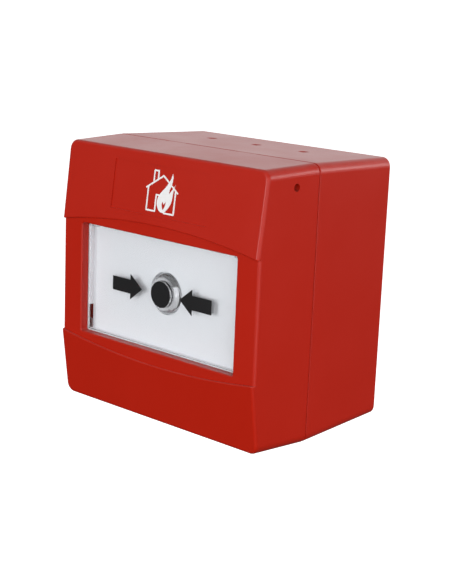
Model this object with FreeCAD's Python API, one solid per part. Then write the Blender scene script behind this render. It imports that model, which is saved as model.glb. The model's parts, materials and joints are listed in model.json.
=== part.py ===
import FreeCAD, Part
import math
import os

# Manual call point on a surface box, in millimetres.
# X runs to the right seen from the front, +Y points into the wall, +Z is up.
# The origin is the centre of the face that lies on the wall.

V = FreeCAD.Vector

# Overall sizes
width = 93.0
height = 91.0
box_depth = 39.1
cover_depth = 22.4
band_bulge = 3.3
corner_r = 3.2
box_draft_x = 2.0
box_draft_z = 1.0
cover_draft_x = 1.3
cover_draft_z = 0.7
back_width = width - 2 * box_draft_x
back_height = height - 2 * box_draft_z
front_width = width - 2 * cover_draft_x
front_height = height - 2 * cover_draft_z

# Shells
box_wall = 2.4
box_floor = 2.5
cover_wall = 2.3
front_wall = 3.0
parting_gap = 0.3
rim_round = 0.35
front_round = 1.1
inner_corner_r = 1.2

# Front bands and the panel between them
panel_recess = 0.94
upper_band_side = 17.5
upper_band_rise = 4.1
lower_band_side = -21.3
lower_band_dip = 3.7
band_edge_round = 0.35

# Window, tray and pane
window_w = 71.5
window_h = 38.0
window_z = -1.5
window_corner_r = 0.8
window_edge_round = 0.4
tray_step = 0.1
tray_wall = 1.8
tray_gap = 0.25
tray_depth = 2.8
tray_plate_t = 2.3
tray_top_extra = 10.0
pane_side_gap = 0.35
pane_t = 1.0
press_travel = 1.0
lug_t = 0.5
lug_reach = 1.6
lug_up = 0.8
lug_h = 2.6
lug_thick = 0.9
top_lug_inset = 2.75
top_lug_x = window_w / 2 - top_lug_inset
top_lug_w = 3.0
top_lug_reach = 1.4
side_slot_h = 8.6
side_slot_w = 1.9
slot_gap = 0.3
print_t = 0.12
print_gap = 0.02

# Plunger, ring and dot
dot_d = 8.7
head_d = 8.8
head_fit = 0.05
ring_od = 13.2
ring_t = 1.4
ring_land = 1.1
stem_d = 4.0
stem_fit = 0.08
spring_recess_d = 14.4
spring_recess_deep = 1.3

# Press arrows, from the middle of the dot outwards
arrow_tip = 8.8
arrow_length = 14.2
arrow_head = 5.6
arrow_head_w = 8.7
arrow_tail_w = 4.8

# Flag that drops behind the pane
flag_w = 60.0
flag_h = 9.6
flag_t = 0.4
flag_drop = 6.0
flag_off = 0.25
peg_w = 2.0
peg_x = 20.0
peg_gap = 0.2
peg_down = 0.3

# Chassis and fixings
chassis_t = 2.5
chassis_gap = 0.5
boss_x = 39.0
boss_r = 3.5
chassis_screw_d = 3.0
pilot_less = 0.4
screw_fit = 0.25
leg_x = 33.0
leg_z_top = 13.0
leg_z_low = -16.5
leg_r = 3.0
tray_screw_d = 2.2

# Circuit board and its parts
board_w = 58.0
board_low = -17.0
board_drop = 4.5
board_t = 1.6
board_gap = 6.2
board_screw_d = 2.2
board_screw_x = 25.0
board_screw_z_low = -13.0
board_screw_z_top = 31.0
board_pillar_r = 2.6
board_hole_fit = 0.15
switch_l = 12.8
switch_w = 5.8
switch_h = 6.5
lever_arm = 12.0
lever_t = 0.35
lever_w = 4.2
lever_pin_fit = 0.05
lever_end = 2.2
lever_up = 1.45
lever_pin_d = 1.0
ear_t = 0.6
ear_r = 0.95
ear_tail = 1.4
button_arm = 5.0
button_d = 1.6
button_fit = 0.05
contact_gap = 0.1
solder_pin_d = 0.8
solder_pin_x = -7.0
solder_pin_pitch = 4.5
solder_pin_out = 1.6
resistor_x = 19.0
resistor_z = 10.0
resistor_leads = 12.0
resistor_l = 6.4
resistor_d = 2.3
resistor_end_d = 2.7
resistor_up = 1.5
lead_d = 0.6

# Terminal block, on the back of the chassis
ways = 5
pitch = 5.08
terminal_h = 10.0
terminal_deep = 12.0
terminal_z = 21.0
wire_hole_d = 3.2
terminal_screw_d = 3.6
terminal_pin = 1.0
terminal_pin_in = 3.1
wire_hole_y = 5.0
clamp_w = 3.6
clamp_h = 4.0
clamp_y0 = 3.1
clamp_y1 = 8.0
clamp_wall = 0.5
clamp_gap = 0.1

# Wall side of the back box
fixing_spacing = 60.3
fixing_slot_w = 4.5
fixing_slot_l = 8.0
cable_hole_d = 20.0
cable_hole_z = -14.0
mark_d = 4.3
mark_deep = 0.6
mark_pitch = 21.0
mark_y = -16.7
earth_x = -37.0
earth_z = -28.0
earth_l = 10.0
earth_s = 6.0
earth_seat = 5.0
earth_screw_d = 2.0
earth_screw_drop = 1.2
earth_clamp_up = 2.6
earth_clamp_d = 2.5
earth_wire_d = 3.0

# Cover hinge: two curved hooks about the top outer edge
hook_x = 16.0
hook_w = 8.0
hook_r = 9.5
hook_t = 1.6
hook_tail = 62.0
hook_lip = 4.0
hook_lip_h = 1.5
hook_slot_gap = 0.3
sweep_gap = 0.4

# Key lock at the bottom
lock_y = -43.0
lock_shaft_d = 5.0
lock_fit = 0.05
lock_arm = 7.0
lock_arm_w = 2.0
lock_arm_t = 2.0
key_hex = 3.0
key_hole_d = 6.0
lock_shelf_t = 4.0
lock_shelf_gap = 0.4
lock_arm_up = 4.1
catch_x0 = 4.0
catch_x1 = 9.5
catch_t = 1.7
catch_back = 0.8

# Test slider behind the hole in the right side
test_y = -49.3
test_drop = 6.6
test_hole_d = 2.5
test_rod_d = 3.0
test_rod_fit = 0.05
test_rod_gap = 1.0
test_travel = 2.0
test_collar_d = 5.0
test_collar_t = 1.4
test_spring_l = 4.0
test_spring_r = 2.0
test_spring_wire = 0.4
test_spring_coils = 4.0
guide_t = 2.0
guide_gap = 0.4
test_slack = 0.8
test_switch_x0 = 22.6
test_switch_x1 = 27.0
test_switch_w = 4.2
test_switch_h = 4.8
test_button_d = 1.8

# Sunk label field on the upper band, with its printed sign
label_w = 43.2
label_h = 16.3
label_drop = 4.5
label_deep = 0.3
sign_x = 0.4
sign_line = 0.55

# Worked out from the sizes above
parting_y = -box_depth
edge_y = parting_y - cover_depth
crest_y = edge_y - band_bulge
panel_y = crest_y + panel_recess
panel_back_y = panel_y + front_wall
pane_front_y = panel_back_y + 0.03
pane_back_y = pane_front_y + pane_t
tray_front_y = panel_back_y + tray_gap
plate_y = tray_front_y + tray_depth
plate_back_y = plate_y + tray_plate_t
chassis_front_y = parting_y + parting_gap
chassis_back_y = chassis_front_y + chassis_t
board_back_y = chassis_front_y - board_gap
board_front_y = board_back_y - board_t
tray_w = window_w - 2 * tray_step
tray_h = window_h - 2 * tray_step
hinge_z = height / 2
board_top = hinge_z - board_drop
test_z = hinge_z - test_drop
label_top = hinge_z - label_drop
label_low = label_top - label_h


def box(x0, x1, y0, y1, z0, z1):
    """Box between two corners."""
    return Part.makeBox(x1 - x0, y1 - y0, z1 - z0, V(x0, y0, z0))


def rod(axis, r, start, end, a, b):
    """Cylinder along one axis; a and b are its place on the two other axes, in X, Y, Z order."""
    start, end = min(start, end), max(start, end)
    place = {"x": V(start, a, b), "y": V(a, start, b), "z": V(a, b, start)}[axis]
    way = {"x": V(1, 0, 0), "y": V(0, 1, 0), "z": V(0, 0, 1)}[axis]
    return Part.makeCylinder(r, end - start, place, way)


def round_rect(w, h, r, y, cx=0.0, cz=0.0):
    """Rounded rectangle in the plane at y."""
    x0, x1, z0, z1 = cx - w / 2, cx + w / 2, cz - h / 2, cz + h / 2
    k = r * (1 - math.sqrt(0.5))
    runs = [
        ((x0 + r, z0), (x1 - r, z0), (x1 - k, z0 + k), (x1, z0 + r)),
        ((x1, z0 + r), (x1, z1 - r), (x1 - k, z1 - k), (x1 - r, z1)),
        ((x1 - r, z1), (x0 + r, z1), (x0 + k, z1 - k), (x0, z1 - r)),
        ((x0, z1 - r), (x0, z0 + r), (x0 + k, z0 + k), (x0 + r, z0)),
    ]
    edges = []
    for start, end, mid, stop in runs:
        a, b, c, d = [V(x, y, z) for x, z in (start, end, mid, stop)]
        edges.append(Part.makeLine(a, b))
        edges.append(Part.Arc(b, c, d).toShape())
    return Part.Wire(edges)


def taper(w0, h0, y0, w1, h1, y1, r):
    """Drafted block with flat sides and rounded corners between two planes."""
    if y1 < y0:
        return taper(w1, h1, y1, w0, h0, y0, r)
    turns = [(-1, -1), (1, -1), (1, 1), (-1, 1)]
    near = [V(sx * w0 / 2, y0, sz * h0 / 2) for sx, sz in turns]
    far = [V(sx * w1 / 2, y1, sz * h1 / 2) for sx, sz in turns]
    loops = [near, far] + [[near[k], near[k - 3], far[k - 3], far[k]] for k in range(4)]
    faces = [Part.Face(Part.makePolygon(loop + loop[:1])) for loop in loops]
    block = Part.makeSolid(Part.makeShell(faces))
    corners = [e for e in block.Edges if e.BoundBox.YLength > y1 - y0 - 0.01]
    return block.makeFillet(r, corners)


def slab(w, h, r, y0, y1, cx=0.0, cz=0.0):
    """Straight plate with rounded corners."""
    return Part.Face(round_rect(w, h, r, y0, cx, cz)).extrude(V(0, y1 - y0, 0))


def prism_x(points, x0, x1):
    """Outline of (y, z) points carried from x0 to x1."""
    loop = [V(x0, y, z) for y, z in points]
    return Part.Face(Part.makePolygon(loop + loop[:1])).extrude(V(x1 - x0, 0, 0))


def prism_y(points, y0, y1):
    """Outline of (x, z) points carried from y0 to y1."""
    loop = [V(x, y0, z) for x, z in points]
    return Part.Face(Part.makePolygon(loop + loop[:1])).extrude(V(0, y1 - y0, 0))


def ring_sector(r0, r1, a0, a1, x0, x1):
    """Slice of a ring about the hinge line, a in degrees from straight down towards the wall."""
    def at(r, a):
        turn = math.radians(a)
        return V(x0, parting_y + r * math.sin(turn), hinge_z - r * math.cos(turn))
    mid = (a0 + a1) / 2
    edges = [Part.Arc(at(r1, a0), at(r1, mid), at(r1, a1)).toShape()]
    if r0 > 0:
        edges.append(Part.makeLine(at(r1, a1), at(r0, a1)))
        edges.append(Part.Arc(at(r0, a1), at(r0, mid), at(r0, a0)).toShape())
        edges.append(Part.makeLine(at(r0, a0), at(r1, a0)))
    else:
        edges.append(Part.makeLine(at(r1, a1), at(0, 0)))
        edges.append(Part.makeLine(at(0, 0), at(r1, a0)))
    return Part.Face(Part.Wire(edges)).extrude(V(x1 - x0, 0, 0))


def join(shapes):
    """One solid from several that overlap."""
    return shapes[0].multiFuse(shapes[1:]).removeSplitter()


def pan_screw(d, length, head_d_, head_t, head_y, x, z):
    """Pan head screw pointing into the wall, head underside at head_y, with a cross recess."""
    head = rod("y", head_d_ / 2, head_y - head_t, head_y, x, z)
    top = [e for e in head.Edges if e.BoundBox.YMax < head_y - head_t / 2 and len(e.Vertexes) == 1]
    head = head.makeFillet(head_t * 0.4, top)
    shank = rod("y", d / 2, head_y, head_y + length, x, z)
    arm, deep = head_d_ * 0.28, head_t * 0.6
    blade = head_d_ * 0.06
    cut_a = box(x - arm, x + arm, head_y - head_t, head_y - head_t + deep, z - blade, z + blade)
    cut_b = box(x - blade, x + blade, head_y - head_t, head_y - head_t + deep, z - arm, z + arm)
    return join([head, shank]).cut(join([cut_a, cut_b]))


def half_width(y):
    """Half the cover's outer width at a depth."""
    return (width + (front_width - width) * (parting_y - y) / cover_depth) / 2


def half_height(y):
    """Half the cover's outer height at a depth."""
    return (height + (front_height - height) * (parting_y - y) / cover_depth) / 2


def band_plane(z):
    """Depth of the sloping front of a band at a height."""
    edge_z = front_height / 2
    side = upper_band_side if z > 0 else -lower_band_side
    return edge_y - band_bulge * (edge_z - abs(z)) / (edge_z - side)


def panel_outline(y, wider=0.0):
    """Middle panel's outline at y: straight sides, arched above and below."""
    reach = width
    half = front_width / 2
    up, low = upper_band_side + wider, lower_band_side - wider
    rise = upper_band_rise * (1 - (reach / half) ** 2)
    dip = lower_band_dip * (1 - (reach / half) ** 2)
    top = Part.Arc(V(-reach, y, up + rise), V(0, y, up + upper_band_rise), V(reach, y, up + rise))
    base = Part.Arc(V(reach, y, low - dip), V(0, y, low - lower_band_dip), V(-reach, y, low - dip))
    right = Part.makeLine(V(reach, y, up + rise), V(reach, y, low - dip))
    left = Part.makeLine(V(-reach, y, low - dip), V(-reach, y, up + rise))
    return Part.Wire([top.toShape(), right, base.toShape(), left])


def front_edges(shape, y_limit):
    """Outer edges of a block's front, the ones a fillet runs round."""
    found = []
    for edge in shape.Edges:
        c = edge.BoundBox
        outer = max(abs(c.Center.x) - front_width / 2, abs(c.Center.z) - front_height / 2) > -corner_r
        lies_flat = c.YLength < 0.9 * (c.XLength + c.ZLength)
        if c.YMin < y_limit and outer and lies_flat and c.YMax < edge_y + 0.5:
            found.append(edge)
    return found


# ---------------------------------------------------------------- back box

def make_back_box():
    """Deep drafted box with screw bosses, wall slots, a cable entry and drilling marks on top."""
    rim_y = parting_y + parting_gap / 2
    outer = taper(width, height, rim_y, back_width, back_height, 0.0, corner_r)
    rim = [e for e in outer.Edges if e.BoundBox.YMax < rim_y + 0.1]
    outer = outer.makeFillet(rim_round, rim)
    w2 = 2 * box_wall
    hollow = taper(width - w2, height - w2, rim_y - 0.01,
                   back_width - w2, back_height - w2, -box_floor, inner_corner_r)
    shell = outer.cut(hollow)
    bosses = []
    for side in (-1, 1):
        x = side * boss_x
        post = rod("y", boss_r, -box_floor + 0.2, chassis_back_y, x, 0)
        wall_x = side * (back_width / 2 - box_wall / 2)
        web = box(min(x, wall_x), max(x, wall_x), chassis_back_y + 4.0, -box_floor + 0.2, -1.0, 1.0)
        pilot = rod("y", (chassis_screw_d - pilot_less) / 2, chassis_back_y - 1, -box_floor - 4.0, x, 0)
        bosses.append(join([post, web]).cut(pilot))
    for sx in (-1, 1):
        for sz in (-1, 1):
            x1 = sx * (back_width / 2 - box_wall / 2)
            z1 = sz * (back_height / 2 - box_wall / 2)
            x0, z0 = x1 - sx * 4.0, z1 - sz * 4.0
            ledge = box(min(x0, x1), max(x0, x1), chassis_back_y, -box_floor + 0.2, min(z0, z1), max(z0, z1))
            bosses.append(ledge)
    shell = join([shell] + bosses)
    cuts = [rod("y", cable_hole_d / 2, -box_floor - 1, 1, 0, cable_hole_z)]
    for side in (-1, 1):
        x = side * fixing_spacing / 2
        slot = slab(fixing_slot_l, fixing_slot_w, fixing_slot_w / 2 - 0.001, -box_floor - 1, 1, x, 0)
        cuts.append(slot)
    top_z = (back_height + (height - back_height) * mark_y / parting_y) / 2
    for k in (-1, 0, 1):
        mark = Part.makeCone(0.2, mark_d / 2 + 0.15, mark_deep + 0.1,
                             V(k * mark_pitch, mark_y, top_z - mark_deep), V(0, 0, 1))
        cuts.append(mark)
    seat_y = earth_seat_y()
    half = earth_l / 2 + 1.5
    seat = box(earth_x - earth_s / 2 - 1.0, earth_x + earth_s / 2, seat_y, -box_floor + 0.2,
               earth_z - half, earth_z + half)
    shell = join([shell.cut(cuts), seat])
    hole = rod("y", (earth_screw_d - 0.2) / 2, seat_y - 1, -box_floor - 1.0, earth_x, earth_z - earth_screw_drop)
    return shell.cut(hole)


def earth_seat_y():
    """Front of the earth terminal's seat."""
    return -box_floor - earth_seat


# ---------------------------------------------------------------- front cover

def hook_parts():
    """The two hinge hooks: a cheek inside the cover and a curved tail with a stop lip."""
    parts = []
    r0, r1 = hook_r - hook_t / 2, hook_r + hook_t / 2
    for side in (-1, 1):
        x0, x1 = side * hook_x - hook_w / 2, side * hook_x + hook_w / 2
        parts.append(ring_sector(0, r1, -80, -5, x0, x1))
        parts.append(ring_sector(r0, r1, -30, hook_tail + hook_lip, x0, x1))
        parts.append(ring_sector(r0 + 0.3, r1 + hook_lip_h, hook_tail, hook_tail + hook_lip, x0, x1))
    return parts


def make_front_cover():
    """Hollow cover: two sloping bands, an arched panel between them and the window."""
    rear_y = parting_y - parting_gap / 2
    far_y = crest_y - 2.0
    block = taper(width, height, rear_y, 2 * half_width(far_y), 2 * half_height(far_y), far_y, corner_r)
    bands = prism_x([(rear_y + 1, height), (band_plane(height), height), (crest_y, upper_band_side),
                     (crest_y, lower_band_side), (band_plane(-height), -height), (rear_y + 1, -height)],
                    -width, width)
    banded = block.common(bands)
    banded = banded.makeFillet(front_round, front_edges(banded, edge_y + 0.01))
    flat = block.common(box(-width, width, panel_y, 0, -height, height))
    sides = [e for e in flat.Edges
             if abs(e.BoundBox.YMax - panel_y) < 0.01 and e.BoundBox.XLength < 0.01]
    flat = flat.makeFillet(front_round, sides)
    slot = Part.Face(panel_outline(far_y)).extrude(V(0, edge_y + 4 - far_y, 0))
    bands_only = banded.cut(slot)
    crest = [e for e in bands_only.Edges
             if e.BoundBox.XLength > front_width / 2 and e.BoundBox.YMin < crest_y + 1.2
             and e.BoundBox.YMax < panel_y - 0.1 and abs(e.BoundBox.Center.z) < upper_band_side + 8]
    bands_only = bands_only.makeFillet(band_edge_round, crest)
    wide_slot = Part.Face(panel_outline(far_y, 2 * band_edge_round)).extrude(V(0, edge_y + 5 - far_y, 0))
    shell = join([bands_only, flat.common(wide_slot)])

    rear = [e for e in shell.Edges if e.BoundBox.YMin > rear_y - 0.1]
    shell = shell.makeFillet(rim_round, rear)

    inner_z = front_height / 2 - cover_wall
    front_in = edge_y + front_wall - 0.1
    w2 = 2 * cover_wall
    hollow = taper(width - w2, height - w2, rear_y + 0.01,
                   2 * half_width(far_y) - w2, 2 * half_height(far_y) - w2, far_y, inner_corner_r)
    room = prism_x([(rear_y + 1, height), (front_in, inner_z), (panel_back_y, upper_band_side + 7.0),
                    (panel_back_y, lower_band_side - 6.0), (front_in, -inner_z), (rear_y + 1, -height)],
                   -width, width)
    shell = shell.cut(hollow.common(room))

    opening = slab(window_w, window_h, window_corner_r, far_y, panel_back_y + 1, 0, window_z)
    shell = shell.cut(opening)
    lip = [e for e in shell.Edges
           if abs(e.BoundBox.YMin - panel_y) < 0.01 and abs(e.BoundBox.YMax - panel_y) < 0.01
           and max(abs(e.BoundBox.Center.x) - window_w / 2,
                   abs(e.BoundBox.Center.z - window_z) - window_h / 2) < 0.1
           and e.BoundBox.XLength < window_w and abs(e.BoundBox.Center.z - window_z) < window_h / 2 + 0.1]
    shell = shell.makeFillet(window_edge_round, lip)

    label = prism_x([(band_plane(label_low) - 2, label_low), (band_plane(label_low) + label_deep, label_low),
                     (band_plane(label_top) + label_deep, label_top), (band_plane(label_top) - 2, label_top)],
                    -label_w / 2, label_w / 2)
    side_hole = rod("x", test_hole_d / 2, width / 2 - 6, width / 2 + 2, test_y, test_z)
    key_hole = rod("z", key_hole_d / 2, -height / 2 - 2, -height / 2 + 6, 0, lock_y)
    shell = shell.cut([label, side_hole, key_hole])

    catch_y = parting_y - catch_back
    catch = box(catch_x0, catch_x1, catch_y - catch_t, catch_y,
                -height / 2 + cover_wall / 2, lock_arm_z() + 0.75 * lock_arm_t)
    skin = block.common(box(-width, width, edge_y, 0, -height / 2 + 0.5, height / 2 - cover_wall / 2))
    reach = join([skin, box(-width, width, parting_y - 0.5, 0, -height, height)])
    trimmed = [hook.common(reach) for hook in hook_parts()]
    return join([shell, catch] + trimmed)


def lock_arm_z():
    """Underside of the lock cam's arm."""
    return -height / 2 + lock_arm_up


def lock_shelf_z():
    """Underside of the chassis shelf that the lock's shaft turns in."""
    return lock_arm_z() + lock_arm_t + lock_shelf_gap


def stroke(points):
    """Printed line along (x, z) points, with round joints."""
    half = sign_line / 2
    shapes = [rod("y", half, 0, print_t, x, z) for x, z in points]
    for (x0, z0), (x1, z1) in zip(points, points[1:]):
        run = math.hypot(x1 - x0, z1 - z0)
        dx, dz = -(z1 - z0) / run * half, (x1 - x0) / run * half
        shapes.append(prism_y([(x0 + dx, z0 + dz), (x1 + dx, z1 + dz),
                               (x1 - dx, z1 - dz), (x0 - dx, z0 - dz)], 0, print_t))
    return join(shapes)


def printed_shape(runs):
    """Printed area inside a loop of smooth runs of (x, z) points."""
    edges = []
    for run in runs:
        curve = Part.BSplineCurve()
        curve.interpolate([V(x, 0, z) for x, z in run])
        edges.append(curve.toShape())
    return Part.Face(Part.Wire(edges)).extrude(V(0, print_t, 0))


def make_fire_symbol():
    """Thin print on the upper band: a house outline whose doorway and roof a flame breaks."""
    z_mid = (label_low + label_top) / 2
    slope = math.atan(band_bulge / (front_height / 2 - upper_band_side))
    chimney = [(-3.3, 2.8), (-3.3, 6.4), (-1.45, 6.4), (-1.45, 4.0)]
    roof = [(-6.3, 0.6), (0.9, 5.1), (7.8, 0.3)]
    left_wall = [(-5.5, 1.0), (-5.5, -6.6), (-1.6, -6.6), (-1.6, -1.3), (-0.2, -1.3)]
    right_wall = [(2.6, -6.7), (6.9, -6.7), (6.9, 0.8)]
    flame = printed_shape([
        [(4.9, 6.2), (3.8, 3.5), (2.1, 1.3), (0.0, -0.9), (-1.0, -3.6), (0.0, -5.9), (2.3, -6.7)],
        [(2.3, -6.7), (4.0, -5.3), (5.4, -3.0), (5.8, -0.2), (6.5, 2.8)],
        [(6.5, 2.8), (5.5, 1.4), (4.1, -0.5)],
        [(4.1, -0.5), (4.3, 1.2), (5.0, 3.0), (5.2, 4.6), (4.9, 6.2)],
    ])
    heart = printed_shape([
        [(1.5, -3.0), (1.3, -4.2), (2.0, -5.8)],
        [(2.0, -5.8), (2.8, -4.5), (3.0, -3.0)],
        [(3.0, -3.0), (2.1, -4.0)],
        [(2.1, -4.0), (1.5, -3.0)],
    ])
    lines = [stroke(points) for points in (chimney, roof, left_wall, right_wall)]
    sign = join(lines + [flame]).cut(heart)
    lift = (print_t + print_gap) / math.cos(slope)
    sign.rotate(V(0, 0, 0), V(1, 0, 0), -math.degrees(slope))
    sign.translate(V(sign_x, band_plane(z_mid) + label_deep - lift, z_mid))
    return sign


# ---------------------------------------------------------------- operating element

def make_element_tray():
    """White tray behind the window, on four legs, with slots for the pane's lugs and the flag."""
    outer_w, outer_h = tray_w + 2 * tray_wall, tray_h + 2 * tray_wall
    body = slab(outer_w, outer_h, 1.5, tray_front_y, plate_back_y, 0, window_z)
    body = body.cut(slab(tray_w, tray_h, 0.6, tray_front_y - 1, plate_y, 0, window_z))
    top_z = window_z + outer_h / 2
    back_plate = box(-flag_w / 2 - 2, flag_w / 2 + 2, plate_y, plate_back_y, top_z - 1, top_z + tray_top_extra)
    legs = []
    for x in (-leg_x, leg_x):
        for z in (leg_z_low, leg_z_top):
            legs.append(rod("y", leg_r, plate_back_y - 0.2, chassis_front_y, x, z))
    body = join([body, back_plate] + legs)
    cuts = [rod("y", spring_recess_d / 2, plate_y - 0.1, plate_y + spring_recess_deep, 0, window_z),
            rod("y", stem_d / 2 + stem_fit, plate_y, plate_back_y + 1, 0, window_z)]
    slot_y1 = plate_y - 0.12
    slot_y0 = slot_y1 - side_slot_w
    low_z = window_z - tray_h / 2
    for side in (-1, 1):
        x0, x1 = sorted((side * (tray_w / 2 - 0.1), side * (tray_w / 2 + tray_wall + 0.1)))
        cuts.append(box(x0, x1, slot_y0, slot_y1, low_z, low_z + side_slot_h))
        x0, x1 = sorted((side * tray_w / 2, side * (tray_w / 2 + tray_wall + 0.1)))
        cuts.append(box(x0, x1, slot_y0, plate_back_y + 0.1, low_z, low_z + side_slot_h))
        half = top_lug_w / 2 + slot_gap
        cuts.append(box(side * top_lug_x - half, side * top_lug_x + half, slot_y0, slot_y1,
                        window_z + tray_h / 2 - 0.1, top_z + 0.1))
        slot_x = side * peg_x
        slot_top = window_z + tray_h / 2 + flag_h + peg_gap
        cuts.append(box(slot_x - peg_w / 2 - peg_gap, slot_x + peg_w / 2 + peg_gap,
                        plate_y - 0.1, plate_back_y + 0.1, slot_top - peg_w - flag_drop - 0.5, slot_top))
    gap = flag_off + flag_t + peg_gap
    cuts.append(box(-flag_w / 2 - slot_gap, flag_w / 2 + slot_gap, plate_y - gap, plate_y,
                    window_z + tray_h / 2 - 0.1, top_z + 0.1))
    for x in (-leg_x, leg_x):
        for z in (leg_z_low, leg_z_top):
            cuts.append(rod("y", (tray_screw_d - 0.1) / 2, chassis_front_y - 10, chassis_front_y + 1, x, z))
    return body.cut(cuts)


def make_clear_pane():
    """Clear pane with a hole for the plunger and four stepped lugs on its edges."""
    w, h = tray_w - 2 * pane_side_gap, tray_h - 2 * pane_side_gap
    body = slab(w, h, 0.6, pane_front_y, pane_back_y, 0, window_z)
    lug_y1 = plate_y - slot_gap - press_travel
    lug_y0 = lug_y1 - lug_t
    parts = [body]
    low_z = window_z - h / 2
    top_z = window_z + h / 2
    for side in (-1, 1):
        inner, outer = side * (w / 2 - lug_thick), side * (tray_w / 2 + lug_reach - slot_gap)
        z0, z1 = low_z + lug_up, low_z + lug_up + lug_h
        x0, x1 = sorted((inner, side * w / 2))
        parts.append(box(x0, x1, pane_back_y - 0.2, lug_y1, z0, z1))
        x0, x1 = sorted((inner, outer))
        parts.append(box(x0, x1, lug_y0, lug_y1, z0, z1))
        x0, x1 = side * top_lug_x - top_lug_w / 2, side * top_lug_x + top_lug_w / 2
        parts.append(box(x0, x1, pane_back_y - 0.2, lug_y1, top_z - lug_thick, top_z))
        parts.append(box(x0, x1, lug_y0, lug_y1, top_z - lug_thick, top_z + pane_side_gap + top_lug_reach))
    hole = rod("y", head_d / 2 + head_fit, pane_front_y - 1, pane_back_y + 1, 0, window_z)
    return join(parts).cut(hole)


def make_press_arrows():
    """Two flat printed arrows on the pane, pointing at the dot."""
    solids = []
    for side in (-1, 1):
        neck = arrow_tip + arrow_head
        tail = arrow_tip + arrow_length
        half_t, half_h = arrow_tail_w / 2, arrow_head_w / 2
        shape = [(arrow_tip, 0), (neck, half_h), (neck, half_t), (tail, half_t),
                 (tail, -half_t), (neck, -half_t), (neck, -half_h)]
        points = [(side * x, z + window_z) for x, z in shape]
        solids.append(prism_y(points, pane_front_y - print_t, pane_front_y))
    return Part.makeCompound(solids)


def make_plunger():
    """Turned plunger: bright head, collar behind the ring and a stem with a domed end."""
    lever_y = lever_face_y()
    ring_y1 = ring_back_y()
    head = rod("y", head_d / 2, pane_front_y - print_t + print_gap, ring_y1, 0, window_z)
    end_y = lever_y - contact_gap
    stem = rod("y", stem_d / 2, ring_y1 - 0.1, end_y - 1.0, 0, window_z)
    dome = Part.makeSphere(stem_d / 2 + 0.5, V(0, end_y - stem_d / 2 - 0.5, window_z))
    dome = dome.common(rod("y", stem_d / 2, end_y - 1.2, end_y + 1, 0, window_z))
    return join([head, stem, dome])


def make_centre_dot():
    """Black disc printed on the plunger's head."""
    head_y = pane_front_y - print_t + print_gap
    return rod("y", dot_d / 2, head_y - print_t, head_y, 0, window_z)


def ring_back_y():
    """Back of the bright ring, clear of the tray by the spring's height less its recess."""
    return plate_y - 0.2


def make_bezel_ring():
    """Bright ring behind the pane: flat land, coned outwards, with a rounded rim."""
    y1 = ring_back_y()
    y0 = y1 - ring_t
    r = ring_od / 2
    inner = head_d / 2 + head_fit
    land = inner + ring_land
    profile = [(inner, y0), (land, y0), (r - 0.35, y1 - 0.75), (r, y1 - 0.35), (r, y1), (inner, y1)]
    loop = [V(x, y, 0) for x, y in profile]
    body = Part.Face(Part.makePolygon(loop + loop[:1])).revolve(V(0, 0, 0), V(0, 1, 0), 360)
    body.translate(V(0, 0, window_z))
    return body


def make_return_spring():
    """Wave washer under the ring, with three crests."""
    y0, y1 = ring_back_y(), plate_y + spring_recess_deep
    r, band, thick = 6.0, 1.3, 0.25
    rise = (y1 - y0 - thick) / 2
    middle = (y0 + y1) / 2
    turns = 36

    def rail(radius, lift):
        points = []
        for k in range(turns):
            a = 2 * math.pi * k / turns
            y = middle + rise * 0.97 * math.sin(3 * a) + lift
            points.append(V(radius * math.cos(a), y, window_z + radius * math.sin(a)))
        curve = Part.BSplineCurve()
        curve.interpolate(points, PeriodicFlag=True)
        return Part.Wire(curve.toShape())

    inner, outer = r - band / 2, r + band / 2
    h = thick / 2
    rails = [rail(inner, -h), rail(outer, -h), rail(outer, h), rail(inner, h)]
    faces = []
    for k in range(4):
        faces.append(Part.makeRuledSurface(rails[k], rails[(k + 1) % 4]))
    shell = Part.makeShell([f for piece in faces for f in piece.Faces])
    return Part.makeSolid(shell)


def make_status_flag():
    """Thin bright flag behind the pane's top edge, with two guide pegs."""
    z0 = window_z + tray_h / 2 + peg_down
    y1 = plate_y - flag_off
    body = box(-flag_w / 2, flag_w / 2, y1 - flag_t, y1, z0, z0 + flag_h)
    pegs = []
    for side in (-1, 1):
        x = side * peg_x
        pegs.append(box(x - peg_w / 2, x + peg_w / 2, y1 - 0.1, plate_back_y - peg_down,
                        z0 + flag_h - peg_down - peg_w, z0 + flag_h - peg_down))
    return join([body] + pegs)


# ---------------------------------------------------------------- switch and board

def switch_top_y():
    """Top of the microswitch, facing the plunger."""
    return board_front_y - switch_h


def lever_face_y():
    """Face of the lever that the plunger touches."""
    return switch_top_y() - lever_up


def lever_pin_x():
    """Place of the lever's pin; the plunger meets the lever at x = 0."""
    return -lever_arm


def solder_pin_xs():
    """Places of the snap switch's three pins."""
    return [solder_pin_x + k * solder_pin_pitch for k in (-1, 0, 1)]


def make_microswitch_body():
    """Small snap switch on the board with two ears that carry the lever's pin."""
    x0 = lever_pin_x() - ear_tail
    x1 = x0 + switch_l
    z0, z1 = window_z - switch_w / 2, window_z + switch_w / 2
    body = box(x0, x1, switch_top_y(), board_front_y, z0, z1)
    pin_y = lever_face_y() + lever_t
    ears = []
    for side in (-1, 1):
        za, zb = sorted((window_z + side * switch_w / 2, window_z + side * (switch_w / 2 - ear_t)))
        ears.append(box(x0, lever_pin_x() + ear_r, pin_y - ear_r, switch_top_y() + 0.5, za, zb))
    body = join([body] + ears)
    bore = rod("z", lever_pin_d / 2 + lever_pin_fit, z0 - 1, z1 + 1, lever_pin_x(), pin_y)
    well = rod("y", button_d / 2 + button_fit, switch_top_y() - 0.1, switch_top_y() + 2.2,
               lever_pin_x() + button_arm, window_z)
    return body.cut([bore, well])


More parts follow.
